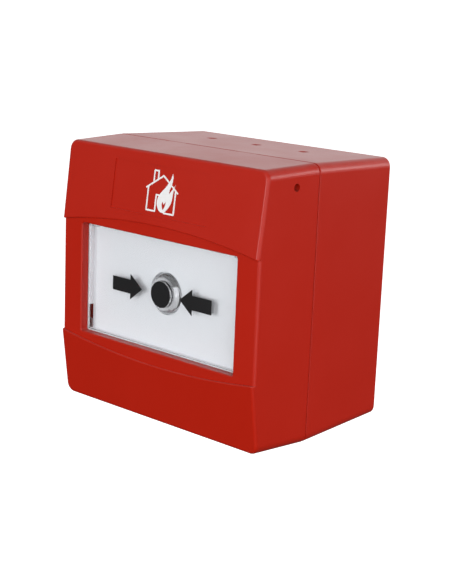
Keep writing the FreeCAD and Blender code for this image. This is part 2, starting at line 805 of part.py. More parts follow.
def make_microswitch_button():
    """Domed button of the snap switch."""
    top = lever_face_y() + lever_t + contact_gap * 0.6
    x = lever_pin_x() + button_arm
    body = rod("y", button_d / 2, top + 0.5, switch_top_y() + 1.6, x, window_z)
    dome = Part.makeSphere(button_d * 0.6, V(x, top + button_d * 0.6, window_z))
    dome = dome.common(rod("y", button_d / 2, top - 0.1, top + 0.6, x, window_z))
    return join([body, dome])


def make_switch_lever():
    """Flat spring-steel lever with a rolled end that turns in the switch's ears."""
    y0 = lever_face_y()
    pin_y = y0 + lever_t
    strip = box(lever_pin_x(), lever_end, y0, y0 + lever_t, window_z - lever_w / 2, window_z + lever_w / 2)
    pin = rod("z", lever_pin_d / 2, window_z - switch_w / 2, window_z + switch_w / 2, lever_pin_x(), pin_y)
    return join([strip, pin])


def make_microswitch_pins():
    """Three solder pins from the switch through the board."""
    return Part.makeCompound([rod("y", solder_pin_d / 2, board_front_y, board_back_y + solder_pin_out, x, window_z)
                              for x in solder_pin_xs()])


def make_circuit_board():
    """Board on four pillars of the chassis, notched for the hinge hooks."""
    body = box(-board_w / 2, board_w / 2, board_front_y, board_back_y, board_low, board_top)
    reach = hook_r + hook_t / 2 + sweep_gap
    cuts = []
    for side in (-1, 1):
        x = side * hook_x
        cuts.append(box(x - hook_w / 2 - 0.6, x + hook_w / 2 + 0.6, board_front_y - 1, board_back_y + 1,
                        hinge_z - reach, board_top + 1))
        for z in (board_screw_z_low, board_screw_z_top):
            cuts.append(rod("y", board_screw_d / 2 + board_hole_fit, board_front_y - 1, board_back_y + 1,
                            side * board_screw_x, z))
    for x in solder_pin_xs():
        cuts.append(rod("y", solder_pin_d / 2, board_front_y - 1, board_back_y + 1, x, window_z))
    for x in terminal_xs():
        cuts.append(rod("y", terminal_pin / 2, board_front_y - 1, board_back_y + 1, x, terminal_z))
    for side in (-1, 1):
        cuts.append(rod("y", lead_d / 2, board_front_y - 1, board_back_y + 1, resistor_x,
                        resistor_z + side * resistor_leads / 2))
    return body.cut(cuts)


def terminal_xs():
    """Places of the terminals along the block."""
    return [(k - (ways - 1) / 2) * pitch for k in range(ways)]


def make_terminal_block():
    """Screw terminal block on the back of the chassis, wires entering from below."""
    w = ways * pitch + 0.6
    y0, y1 = chassis_back_y, chassis_back_y + terminal_deep
    z0, z1 = terminal_z - terminal_h / 2, terminal_z + terminal_h / 2
    body = box(-w / 2, w / 2, y0, y1, z0, z1)
    cuts = []
    for x in terminal_xs():
        half_w, half_h = clamp_w / 2 + clamp_gap, clamp_h / 2 + clamp_gap
        cuts.append(rod("z", wire_hole_d / 2, z0 - 1, terminal_z + 3.0, x, y0 + wire_hole_y))
        cuts.append(rod("y", terminal_screw_d / 2 + clamp_gap, y0 + clamp_y1, y1 + 1, x, terminal_z))
        cuts.append(box(x - half_w, x + half_w, y0 + clamp_y0 - clamp_gap, y0 + clamp_y1 + clamp_gap,
                        terminal_z - half_h, terminal_z + half_h))
        cuts.append(rod("y", terminal_pin / 2, y0 - 1, y0 + clamp_y0 + 0.4, x, terminal_z))
    return body.cut(cuts)


def make_terminal_clamps():
    """Brass cage clamps in the terminal block."""
    solids = []
    y0 = chassis_back_y
    half_w, half_h = clamp_w / 2, clamp_h / 2
    for x in terminal_xs():
        cage = box(x - half_w, x + half_w, y0 + clamp_y0, y0 + clamp_y1, terminal_z - half_h, terminal_z + half_h)
        mouth = box(x - half_w + clamp_wall, x + half_w - clamp_wall, y0 + clamp_y0 + clamp_wall,
                    y0 + clamp_y1 - 1.4, terminal_z - half_h - 1, terminal_z + half_h + 1)
        thread = rod("y", 0.9, y0 + clamp_y1 - 2.0, y0 + clamp_y1 + 1.0, x, terminal_z)
        solids.append(cage.cut([mouth, thread]))
    return Part.makeCompound(solids)


def make_terminal_screws():
    """Slotted clamp screws, heads towards the wall."""
    solids = []
    y0 = chassis_back_y + clamp_y1 + clamp_gap
    y1 = chassis_back_y + terminal_deep - 0.5
    for x in terminal_xs():
        head = rod("y", terminal_screw_d / 2, y0, y1, x, terminal_z)
        shank = rod("y", 0.85, y0 - clamp_y0, y0 + 0.1, x, terminal_z)
        slot = box(x - 2.5, x + 2.5, y1 - 0.9, y1 + 0.1, terminal_z - 0.3, terminal_z + 0.3)
        solids.append(join([head, shank]).cut(slot))
    return Part.makeCompound(solids)


def make_terminal_pins():
    """Pins that join the terminal block to the board."""
    y1 = chassis_back_y + terminal_pin_in
    return Part.makeCompound([rod("y", terminal_pin / 2, board_front_y - 0.8, y1, x, terminal_z)
                              for x in terminal_xs()])


def make_alarm_resistor():
    """Alarm resistor lying on the board, its two leads bent into the board."""
    y = board_front_y - resistor_up
    body = rod("z", resistor_d / 2, resistor_z - resistor_l / 2, resistor_z + resistor_l / 2, resistor_x, y)
    parts = [body]
    for side in (-1, 1):
        cap_z = resistor_z + side * (resistor_l / 2 - 0.9)
        lead_z = resistor_z + side * resistor_leads / 2
        parts.append(Part.makeSphere(resistor_end_d / 2, V(resistor_x, y, cap_z)))
        lead = rod("z", lead_d / 2, lead_z, cap_z, resistor_x, y)
        elbow = Part.makeSphere(lead_d / 2, V(resistor_x, y, lead_z))
        drop = rod("y", lead_d / 2, y, board_back_y + solder_pin_out, resistor_x, lead_z)
        parts.append(join([lead, elbow, drop]))
    return join(parts)


def test_rod_end():
    """Outer end of the test rod, just inside the cover's side wall."""
    return half_width(test_y) - cover_wall - test_rod_gap


def test_collar_x():
    """Inner face of the rod's collar, against the outer guide when at rest."""
    return test_rod_end() - test_slack - guide_t - guide_gap - test_collar_t


def test_button_end():
    """Outer end of the detector switch's button."""
    return test_switch_x1 + test_travel + guide_gap


def make_test_switch_body():
    """Detector switch on the board, its button facing the test slider."""
    body = box(test_switch_x0, test_switch_x1, test_y - test_switch_w / 2, board_front_y,
               test_z - test_switch_h / 2, board_top - 0.1)
    well = rod("x", test_button_d / 2 + button_fit, test_switch_x1 - test_travel - 1.2,
               test_switch_x1 + 1, test_y, test_z)
    return body.cut(well)


def make_test_switch_button():
    """Long-stroke button of the detector switch."""
    return rod("x", test_button_d / 2, test_switch_x1 - 1.0, test_button_end(), test_y, test_z)


def make_test_slider():
    """Test rod behind the side hole, with a collar for its spring."""
    x0 = test_button_end() + contact_gap
    x1 = test_rod_end()
    shaft = rod("x", test_rod_d / 2, x0, x1, test_y, test_z)
    collar_x = test_collar_x()
    collar = rod("x", test_collar_d / 2, collar_x, collar_x + test_collar_t, test_y, test_z)
    cup = Part.makeCone(0.01, 1.0, 1.0, V(x1 - 1.0, test_y, test_z), V(1, 0, 0))
    return join([shaft, collar]).cut(cup)


def make_test_spring():
    """Coil spring of square wire between the inner guide and the slider's collar."""
    half = test_spring_wire / 2
    length = test_spring_l - test_spring_wire
    path = Part.makeHelix(length / test_spring_coils, length, test_spring_r)
    inner, outer = test_spring_r - half, test_spring_r + half
    corners = [V(inner, 0, -half), V(outer, 0, -half), V(outer, 0, half), V(inner, 0, half)]
    body = Part.Wire(path).makePipeShell([Part.makePolygon(corners + corners[:1])], True, True)
    body.rotate(V(0, 0, 0), V(0, 1, 0), 90)
    body.translate(V(test_collar_x() - test_spring_l + half, test_y, test_z))
    return body


# ---------------------------------------------------------------- chassis

def make_chassis():
    """Inner frame that carries the board, the tray, the terminals, the lock and the test slider."""
    w = width - 2 * box_wall - 2 * chassis_gap
    h = height - 2 * box_wall - 2 * chassis_gap
    plate = slab(w, h, 1.5, chassis_front_y, chassis_back_y)
    adds = []
    for side in (-1, 1):
        for z in (board_screw_z_low, board_screw_z_top):
            adds.append(rod("y", board_pillar_r, board_back_y, chassis_front_y + 0.2, side * board_screw_x, z))
    shelf_z0 = lock_shelf_z()
    adds.append(box(-lock_shaft_d, lock_shaft_d, lock_y - 4.0, chassis_front_y + 0.2,
                    shelf_z0, shelf_z0 + lock_shelf_t))
    outer_x = test_rod_end() - test_slack - guide_t
    inner_x = test_collar_x() - test_spring_l - guide_t
    for x0 in (inner_x, outer_x):
        adds.append(box(x0, x0 + guide_t, test_y - 3.0, chassis_front_y + 0.2, test_z - 3.2, test_z + 2.9))
    rib = box(inner_x - 1.0, outer_x + guide_t, chassis_front_y - 3.0, chassis_front_y + 0.2,
              test_z - 6.0, test_z - 3.0)
    body = join([plate, rib] + adds)
    cuts = []
    for side in (-1, 1):
        cuts.append(rod("y", chassis_screw_d / 2 + screw_fit, chassis_front_y - 1, chassis_back_y + 1,
                        side * boss_x, 0))
        for z in (leg_z_low, leg_z_top):
            cuts.append(rod("y", tray_screw_d / 2 + screw_fit, chassis_front_y - 1, chassis_back_y + 1,
                            side * leg_x, z))
        for z in (board_screw_z_low, board_screw_z_top):
            cuts.append(rod("y", (board_screw_d - pilot_less) / 2, board_back_y - 1, chassis_back_y - 1,
                            side * board_screw_x, z))
        x = side * hook_x
        low = hinge_z - hook_r - hook_t / 2 - hook_slot_gap
        high = hinge_z - (hook_r - hook_t / 2) * math.cos(math.radians(20)) + hook_slot_gap
        cuts.append(box(x - hook_w / 2 - hook_slot_gap, x + hook_w / 2 + hook_slot_gap,
                        chassis_front_y - 1, chassis_back_y + 1, low, high))
    for x in terminal_xs():
        cuts.append(rod("y", terminal_pin / 2 + slot_gap, chassis_front_y - 1, chassis_back_y + 1, x, terminal_z))
    cuts.append(rod("z", lock_shaft_d / 2 + lock_fit, shelf_z0 - 1, shelf_z0 + lock_shelf_t + 1, 0, lock_y))
    cuts.append(rod("x", test_rod_d / 2 + test_rod_fit, inner_x - 1, outer_x + guide_t + 1, test_y, test_z))
    return body.cut(cuts)


def make_chassis_screws():
    """Two screws that hold the chassis on the box's bosses."""
    return Part.makeCompound([pan_screw(chassis_screw_d, 13.0, 5.6, 2.0, chassis_front_y, side * boss_x, 0)
                              for side in (-1, 1)])


def make_board_screws():
    """Four small screws through the board."""
    solids = []
    for side in (-1, 1):
        for z in (board_screw_z_low, board_screw_z_top):
            solids.append(pan_screw(board_screw_d, 6.0, 4.2, 1.4, board_front_y, side * board_screw_x, z))
    return Part.makeCompound(solids)


def make_tray_screws():
    """Four screws from behind the chassis into the tray's legs."""
    solids = []
    for x in (-leg_x, leg_x):
        for z in (leg_z_low, leg_z_top):
            screw = pan_screw(tray_screw_d, 9.0, 4.2, 1.4, 0, 0, 0)
            screw.rotate(V(0, 0, 0), V(0, 0, 1), 180)
            screw.translate(V(x, chassis_back_y, z))
            solids.append(screw)
    return Part.makeCompound(solids)


def make_lock_cam():
    """Key-turned cam: shaft in the chassis shelf, arm below it, retaining head above."""
    z0 = lock_arm_z()
    head_z = lock_shelf_z() + lock_shelf_t + 0.2
    shaft = rod("z", lock_shaft_d / 2, z0 - 1.2, head_z + 0.4, 0, lock_y)
    head = rod("z", lock_shaft_d / 2 + 1.0, head_z, head_z + 1.0, 0, lock_y)
    arm = box(-lock_arm_w / 2, lock_arm_w / 2, lock_y - lock_arm, lock_y, z0, z0 + lock_arm_t)
    tip = [e for e in arm.Edges if e.BoundBox.YMax < lock_y - lock_arm + 0.01 and e.BoundBox.ZLength > 1]
    arm = arm.makeFillet(0.7, tip)
    points = []
    corner = key_hex / math.sqrt(3)
    for k in range(6):
        a = math.radians(60 * k)
        points.append(V(corner * math.cos(a), lock_y + corner * math.sin(a), z0 - 2))
    socket = Part.Face(Part.makePolygon(points + points[:1])).extrude(V(0, 0, 4.5))
    return join([shaft, head, arm]).cut(socket)


# ---------------------------------------------------------------- earth terminal

def make_earth_terminal():
    """Brass block for joining the cable screens, on its seat in the box."""
    seat_y = earth_seat_y()
    front = seat_y - earth_s
    clamp_z = earth_z + earth_clamp_up
    body = box(earth_x - earth_s / 2, earth_x + earth_s / 2, front, seat_y,
               earth_z - earth_l / 2, earth_z + earth_l / 2)
    wire = rod("x", earth_wire_d / 2, earth_x - earth_s, earth_x + earth_s, seat_y - earth_s / 2, clamp_z)
    hole = rod("y", earth_screw_d / 2 + screw_fit, front - 1, seat_y + 1, earth_x, earth_z - earth_screw_drop)
    clamp_hole = rod("y", earth_clamp_d / 2, front - 1, seat_y - earth_s / 2, earth_x, clamp_z)
    return body.cut([wire, hole, clamp_hole])


def make_earth_screws():
    """Fixing screw and clamp screw of the earth terminal."""
    front = earth_seat_y() - earth_s
    clamp_z = earth_z + earth_clamp_up
    fixing = pan_screw(earth_screw_d, earth_s + 3.5, 3.0, 1.2, front, earth_x, earth_z - earth_screw_drop)
    grub = rod("y", earth_clamp_d / 2 - 0.05, front - 1.4, front + 1.6, earth_x, clamp_z)
    grub = grub.cut(box(earth_x - 2, earth_x + 2, front - 1.5, front - 0.8, clamp_z - 0.2, clamp_z + 0.2))
    return Part.makeCompound([fixing, grub])


nodes = {
    "back_box": make_back_box,
    "earth_terminal": make_earth_terminal,
    "earth_terminal_screws": make_earth_screws,
    "chassis": make_chassis,
    "chassis_screws": make_chassis_screws,
    "terminal_block": make_terminal_block,
    "terminal_clamps": make_terminal_clamps,
    "terminal_screws": make_terminal_screws,
    "terminal_pins": make_terminal_pins,
    "circuit_board": make_circuit_board,
    "board_screws": make_board_screws,
    "alarm_resistor": make_alarm_resistor,
    "microswitch_body": make_microswitch_body,
    "microswitch_pins": make_microswitch_pins,
    "microswitch_button": make_microswitch_button,
    "switch_lever": make_switch_lever,
    "test_switch_body": make_test_switch_body,
    "test_switch_button": make_test_switch_button,
    "test_slider": make_test_slider,
    "test_spring": make_test_spring,
    "element_tray": make_element_tray,
    "tray_screws": make_tray_screws,
    "return_spring": make_return_spring,
    "status_flag": make_status_flag,
    "plunger": make_plunger,
    "bezel_ring": make_bezel_ring,
    "clear_pane": make_clear_pane,
    "press_arrows": make_press_arrows,
    "centre_dot": make_centre_dot,
    "front_cover": make_front_cover,
    "fire_symbol": make_fire_symbol,
    "lock_cam": make_lock_cam,
}

os.makedirs("parts", exist_ok=True)
for name, make in nodes.items():
    shape = make()
    shape.exportStep("parts/" + name + ".step")
    b = shape.BoundBox
    print("%-22s solids %d valid %s volume %8.1f  x %.2f..%.2f y %.2f..%.2f z %.2f..%.2f" % (
        name, len(shape.Solids), shape.isValid(), shape.Volume,
        b.XMin, b.XMax, b.YMin, b.YMax, b.ZMin, b.ZMax))
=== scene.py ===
import json
import math

import bpy
from mathutils import Matrix, Vector

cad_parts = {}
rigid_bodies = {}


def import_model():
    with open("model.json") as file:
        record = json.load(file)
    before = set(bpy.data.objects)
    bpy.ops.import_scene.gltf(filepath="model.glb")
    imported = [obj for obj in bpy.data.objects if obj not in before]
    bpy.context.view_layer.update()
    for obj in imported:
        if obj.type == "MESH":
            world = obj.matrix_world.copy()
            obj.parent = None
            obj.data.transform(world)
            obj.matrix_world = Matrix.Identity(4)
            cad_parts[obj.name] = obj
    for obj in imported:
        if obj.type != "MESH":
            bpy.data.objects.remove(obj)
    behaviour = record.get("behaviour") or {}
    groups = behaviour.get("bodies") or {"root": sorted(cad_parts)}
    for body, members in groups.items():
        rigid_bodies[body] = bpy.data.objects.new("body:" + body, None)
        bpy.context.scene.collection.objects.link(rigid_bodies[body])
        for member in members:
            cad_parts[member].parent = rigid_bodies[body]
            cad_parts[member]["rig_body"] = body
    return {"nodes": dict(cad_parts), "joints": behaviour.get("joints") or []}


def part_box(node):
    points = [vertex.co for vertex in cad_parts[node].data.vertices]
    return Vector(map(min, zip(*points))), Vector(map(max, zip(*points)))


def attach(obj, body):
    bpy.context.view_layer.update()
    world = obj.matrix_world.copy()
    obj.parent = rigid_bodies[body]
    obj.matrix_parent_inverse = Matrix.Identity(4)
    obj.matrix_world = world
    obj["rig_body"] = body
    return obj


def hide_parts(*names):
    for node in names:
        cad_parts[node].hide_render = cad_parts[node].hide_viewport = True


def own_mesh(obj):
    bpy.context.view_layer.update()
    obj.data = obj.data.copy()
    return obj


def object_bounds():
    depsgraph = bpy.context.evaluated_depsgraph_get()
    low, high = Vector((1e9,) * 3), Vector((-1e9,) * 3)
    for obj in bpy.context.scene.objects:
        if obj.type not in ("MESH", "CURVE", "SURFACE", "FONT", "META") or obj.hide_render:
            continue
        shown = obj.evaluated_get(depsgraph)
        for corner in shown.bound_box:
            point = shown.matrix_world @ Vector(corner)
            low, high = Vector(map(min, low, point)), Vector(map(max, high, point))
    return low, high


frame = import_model()
cad_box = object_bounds()
cad = frame["nodes"]
scene = bpy.context.scene
mm = 0.001
quarter_turn = math.radians(90)


# ---------------------------------------------------------------- Back box
# Deep surface box, one hollow moulding in red ABS with drafted sides and a satin texture.
# Two slots in its back take the wall screws and a round entry takes the cable; three
# shallow drilling marks lie along its top.

def add(tree, kind, **settings):
    """A node of that kind, with its settings."""
    node = tree.nodes.new(kind)
    for key, value in settings.items():
        setattr(node, key, value)
    return node


def maths(tree, a, operation, b):
    """A maths node's result; a and b are sockets or numbers."""
    node = add(tree, "ShaderNodeMath", operation=operation)
    for place, value in enumerate((a, b)):
        if isinstance(value, (int, float)):
            node.inputs[place].default_value = value
        else:
            tree.links.new(value, node.inputs[place])
    return node.outputs[0]


def ask(tree, name, kind, value=None):
    """A named input of a node group."""
    made = tree.interface.new_socket(name=name, in_out="INPUT", socket_type=kind)
    if value is not None:
        made.default_value = value
    return made


def give(tree, name, kind):
    """A named output of a node group."""
    return tree.interface.new_socket(name=name, in_out="OUTPUT", socket_type=kind)


def axes(tree, vector):
    """The X, Y and Z of a vector socket."""
    split = add(tree, "ShaderNodeSeparateXYZ")
    tree.links.new(vector, split.inputs[0])
    return split.outputs


def moulding_texture():
    """Satin of a spark-eroded mould: fine grain, with slow drifts of tone and gloss."""
    tree = bpy.data.node_groups.new("moulding_texture", "ShaderNodeTree")
    ask(tree, "Colour", "NodeSocketColor")
    for name, value in (("Roughness", 0.4), ("Tone Drift", 0.04), ("Gloss Drift", 0.05),
                        ("Grain per Metre", 3000.0), ("Drift per Metre", 45.0)):
        ask(tree, name, "NodeSocketFloat", value)
    give(tree, "Colour", "NodeSocketColor")
    give(tree, "Roughness", "NodeSocketFloat")
    give(tree, "Height", "NodeSocketFloat")
    given = add(tree, "NodeGroupInput")
    out = add(tree, "NodeGroupOutput")
    place = add(tree, "ShaderNodeTexCoord")
    patterns = []
    for scale, detail in (("Grain per Metre", 2.0), ("Drift per Metre", 3.0)):
        pattern = add(tree, "ShaderNodeTexNoise")
        pattern.inputs["Detail"].default_value = detail
        tree.links.new(place.outputs["Object"], pattern.inputs["Vector"])
        tree.links.new(given.outputs[scale], pattern.inputs["Scale"])
        patterns.append(pattern.outputs["Fac"])
    grain, drift = patterns
    middle = maths(tree, drift, "SUBTRACT", 0.5)
    tone = maths(tree, middle, "MULTIPLY", given.outputs["Tone Drift"])
    level = maths(tree, maths(tree, tone, "MULTIPLY", 2.0), "ADD", 1.0)
    gloss = maths(tree, middle, "MULTIPLY", given.outputs["Gloss Drift"])
    rough = maths(tree, given.outputs["Roughness"], "ADD", maths(tree, gloss, "MULTIPLY", 2.0))
    scaled = add(tree, "ShaderNodeVectorMath", operation="SCALE")
    tree.links.new(given.outputs["Colour"], scaled.inputs[0])
    tree.links.new(level, scaled.inputs["Scale"])
    tree.links.new(scaled.outputs[0], out.inputs["Colour"])
    tree.links.new(rough, out.inputs["Roughness"])
    tree.links.new(grain, out.inputs["Height"])
    return tree


def settled_dust():
    """Thin dust on faces that look up: mixes a dust colour in, in loose patches."""
    tree = bpy.data.node_groups.new("settled_dust", "ShaderNodeTree")
    ask(tree, "Colour", "NodeSocketColor")
    ask(tree, "Dust Colour", "NodeSocketColor", (0.62, 0.58, 0.55, 1.0))
    ask(tree, "Amount", "NodeSocketFloat", 0.1)
    give(tree, "Colour", "NodeSocketColor")
    given = add(tree, "NodeGroupInput")
    out = add(tree, "NodeGroupOutput")
    facing = add(tree, "ShaderNodeNewGeometry")
    upward = add(tree, "ShaderNodeMapRange")
    upward.inputs["From Min"].default_value = 0.25
    upward.inputs["From Max"].default_value = 0.95
    tree.links.new(axes(tree, facing.outputs["Normal"])["Z"], upward.inputs["Value"])
    place = add(tree, "ShaderNodeTexCoord")
    patches = add(tree, "ShaderNodeTexNoise")
    patches.inputs["Scale"].default_value = 260.0
    patches.inputs["Detail"].default_value = 6.0
    tree.links.new(place.outputs["Object"], patches.inputs["Vector"])
    covered = maths(tree, upward.outputs[0], "MULTIPLY", patches.outputs["Fac"])
    covered = maths(tree, covered, "MULTIPLY", given.outputs["Amount"])
    mixed = add(tree, "ShaderNodeMix", data_type="RGBA")
    tree.links.new(covered, mixed.inputs["Factor"])
    tree.links.new(given.outputs["Colour"], mixed.inputs["A"])
    tree.links.new(given.outputs["Dust Colour"], mixed.inputs["B"])
    tree.links.new(mixed.outputs["Result"], out.inputs["Colour"])
    return tree


mould_texture = moulding_texture()
dust = settled_dust()
plastic_ior = 1.5


def place_group(tree, group, **values):
    """One of the shared groups in a material, with its own values."""
    node = add(tree, "ShaderNodeGroup", node_tree=group)
    for key, value in values.items():
        node.inputs[key.replace("_", " ").title().replace(" Per ", " per ")].default_value = value
    return node


def surface(name):
    """A new material with its tree and its Principled shader, joined to the output."""
    material = bpy.data.materials.new(name)
    material.use_nodes = True
    tree = material.node_tree
    tree.nodes.clear()
    shader = add(tree, "ShaderNodeBsdfPrincipled")
    out = add(tree, "ShaderNodeOutputMaterial")
    tree.links.new(shader.outputs[0], out.inputs["Surface"])
    return material, tree, shader


def rough_skin(tree, shader, height, depth):
    """Lets a height pattern of that depth in metres tilt the surface."""
    bump = add(tree, "ShaderNodeBump")
    bump.inputs["Distance"].default_value = depth
    bump.inputs["Strength"].default_value = 1.0
    tree.links.new(height, bump.inputs["Height"])
    tree.links.new(bump.outputs[0], shader.inputs["Normal"])


def moulded(name, colour, roughness, tone=0.04, gloss=0.05, grain=3000.0, depth=0.00001,
            dusty=0.0, specular=0.5):
    """Plastic moulding: texture of its mould, and dust if it lies open."""
    material, tree, shader = surface(name)
    texture = place_group(tree, mould_texture, colour=(*colour, 1.0), roughness=roughness,
                          tone_drift=tone, gloss_drift=gloss, grain_per_metre=grain)
    last = texture.outputs["Colour"]
    if dusty:
        settled = place_group(tree, dust, amount=dusty)
        tree.links.new(last, settled.inputs["Colour"])
        last = settled.outputs["Colour"]
    tree.links.new(last, shader.inputs["Base Color"])
    tree.links.new(texture.outputs["Roughness"], shader.inputs["Roughness"])
    shader.inputs["IOR"].default_value = plastic_ior
    shader.inputs["Specular IOR Level"].default_value = specular
    rough_skin(tree, shader, texture.outputs["Height"], depth)
    return material


def finish_node(node, material):
    """A CAD piece shown as it is, in its finish."""
    piece = cad[node]
    piece.data.materials.clear()
    piece.data.materials.append(material)


red_colour = (0.450, 0.0125, 0.003)
red_plastic = moulded("satin_red_abs", red_colour, roughness=0.33, tone=0.03, gloss=0.06,
                      grain=2600.0, depth=0.000018, dusty=0.10, specular=0.28)
finish_node("back_box", red_plastic)


# ---------------------------------------------------------------- Front cover
# The same red ABS: a hollow cap with two sloping bands, an arched flat panel between them
# and the window. It hangs on two curved hooks about its top outer edge.

finish_node("front_cover", red_plastic)


# ---------------------------------------------------------------- Register lip
# Low lip of the same red ABS on the box's rim, a little in from its face; the cover closes
# on it, so the parting line is a shallow groove.

def geometry_tree(name):
    """A Geometry Nodes tree that starts from seats, one vertex each, and takes a finish."""
    tree = bpy.data.node_groups.new(name, "GeometryNodeTree")
    ask(tree, "Seats", "NodeSocketGeometry")
    ask(tree, "Finish", "NodeSocketMaterial")
    give(tree, "Piece", "NodeSocketGeometry")
    return tree, add(tree, "NodeGroupInput"), add(tree, "NodeGroupOutput")


def set_on_seats(tree, given, out, unit, turn):
    """Puts the unit on every seat, turned by turn, as real geometry in its finish."""
    seated = add(tree, "GeometryNodeInstanceOnPoints")
    turned = add(tree, "FunctionNodeEulerToRotation")
    turned.inputs[0].default_value = turn
    real = add(tree, "GeometryNodeRealizeInstances")
    painted = add(tree, "GeometryNodeSetMaterial")
    tree.links.new(given.outputs["Seats"], seated.inputs["Points"])
    tree.links.new(unit, seated.inputs["Instance"])
    tree.links.new(turned.outputs[0], seated.inputs["Rotation"])
    tree.links.new(seated.outputs[0], real.inputs[0])
    tree.links.new(real.outputs[0], painted.inputs["Geometry"])
    tree.links.new(given.outputs["Finish"], painted.inputs["Material"])
    tree.links.new(painted.outputs[0], out.inputs["Piece"])


def made_by(tree, name, seats, finish, **sizes):
    """Runs a tree on its seats once, with its sizes in metres, and keeps the plain mesh."""
    seat_mesh = bpy.data.meshes.new(name + "_seats")
    seat_mesh.from_pydata([tuple(seat) for seat in seats], [], [])
    maker = bpy.data.objects.new(name + "_maker", seat_mesh)
    scene.collection.objects.link(maker)
    made = maker.modifiers.new("maker", "NODES")
    made.node_group = tree
    values = {key.replace("_", " ").title(): value for key, value in sizes.items()}
    values["Finish"] = finish
    for socket in tree.interface.items_tree:
        if socket.item_type == "SOCKET" and socket.in_out == "INPUT" and socket.name in values:
            made[socket.identifier] = values.pop(socket.name)
    assert not values, "no such size: %s" % sorted(values)
    bpy.context.view_layer.update()
    shape = maker.evaluated_get(bpy.context.evaluated_depsgraph_get())
    piece = bpy.data.objects.new(name, bpy.data.meshes.new_from_object(shape))
    maker.modifiers.remove(made)
    bpy.data.objects.remove(maker)
    scene.collection.objects.link(piece)
    return piece


def drawn_along(tree, path, section, capped=False):
    """The mesh that a section leaves along a path."""
    drawn = add(tree, "GeometryNodeCurveToMesh")
    drawn.inputs["Fill Caps"].default_value = capped
    tree.links.new(path, drawn.inputs["Curve"])
    tree.links.new(section, drawn.inputs["Profile Curve"])
    return drawn.outputs[0]


def flat_band(tree, path, width, height):
    """A band along a closed path, upright on it, width by height in section."""
    upright = add(tree, "GeometryNodeSetCurveNormal", mode="Z_UP")
    tree.links.new(path, upright.inputs[0])
    section = add(tree, "GeometryNodeCurvePrimitiveQuadrilateral")
    tree.links.new(width, section.inputs["Width"])
    tree.links.new(height, section.inputs["Height"])
    return drawn_along(tree, upright.outputs[0], section.outputs[0])


def lip_tree():
    """A band with square section round a rectangle with rounded corners, upright along Y."""
    tree, given, out = geometry_tree("register_lip")
    for name in ("Width", "Height", "Corner", "Thickness", "Rise"):
        ask(tree, name, "NodeSocketFloat", 0.001)
    outline = add(tree, "GeometryNodeCurvePrimitiveQuadrilateral")
    tree.links.new(given.outputs["Width"], outline.inputs["Width"])
    tree.links.new(given.outputs["Height"], outline.inputs["Height"])
    rounded = add(tree, "GeometryNodeFilletCurve", mode="POLY")
    rounded.inputs["Count"].default_value = 12
    tree.links.new(outline.outputs[0], rounded.inputs["Curve"])
    tree.links.new(given.outputs["Corner"], rounded.inputs["Radius"])
    band = flat_band(tree, rounded.outputs[0], given.outputs["Thickness"], given.outputs["Rise"])
    set_on_seats(tree, given, out, band, (quarter_turn, 0.0, 0.0))
    return tree


box_low, box_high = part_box("back_box")
hinge = [joint for joint in frame["joints"] if joint["name"] == "cover_hinge"][0]
cover_rim_y = 2 * hinge["pos_m"][1] - box_low.y
lip_in = 0.35 * mm
lip_thickness = 1.2 * mm
lip_corner = 2.3 * mm
lip_clear = 0.03 * mm
lip_sunk = 0.10 * mm
lip_rise = box_low.y + lip_sunk - (cover_rim_y + lip_clear)
lip_mid = Vector((0.0, box_low.y + lip_sunk - lip_rise / 2, (box_low.z + box_high.z) / 2))
lip = made_by(lip_tree(), "register_lip", [lip_mid], red_plastic,
              width=box_high.x - box_low.x - 2 * lip_in - lip_thickness,
              height=box_high.z - box_low.z - 2 * lip_in - lip_thickness,
              corner=lip_corner, thickness=lip_thickness, rise=lip_rise)
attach(lip, cad["back_box"]["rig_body"])


# ---------------------------------------------------------------- Printed sign
# White ink on the sunk label field of the upper band: a house outline with a flame. It is
# pad-printed, a film that moves with the cover.

white_ink = moulded("white_ink", (0.86, 0.86, 0.86), roughness=0.45, tone=0.03,
                    grain=5000.0, depth=0.000004)
finish_node("fire_symbol", white_ink)


# ---------------------------------------------------------------- Tray behind the window
# White moulding that carries the clear pane, the flag and the spring. It stands on four
# legs, and four screws from behind hold it to the chassis.

white_plastic = moulded("white_moulding", (0.78, 0.79, 0.81), roughness=0.42, tone=0.02,
                        grain=3400.0, depth=0.000006)
finish_node("element_tray", white_plastic)


# ---------------------------------------------------------------- Clear pane
# Clear acrylic plate with a hole for the plunger; its lugs hang in the tray's slots.
# Its faces are polished and its cut edges are matt.

cut_edge_roughness = 0.55
face_limit = 0.7      # a face turned this far to the front or back is polished


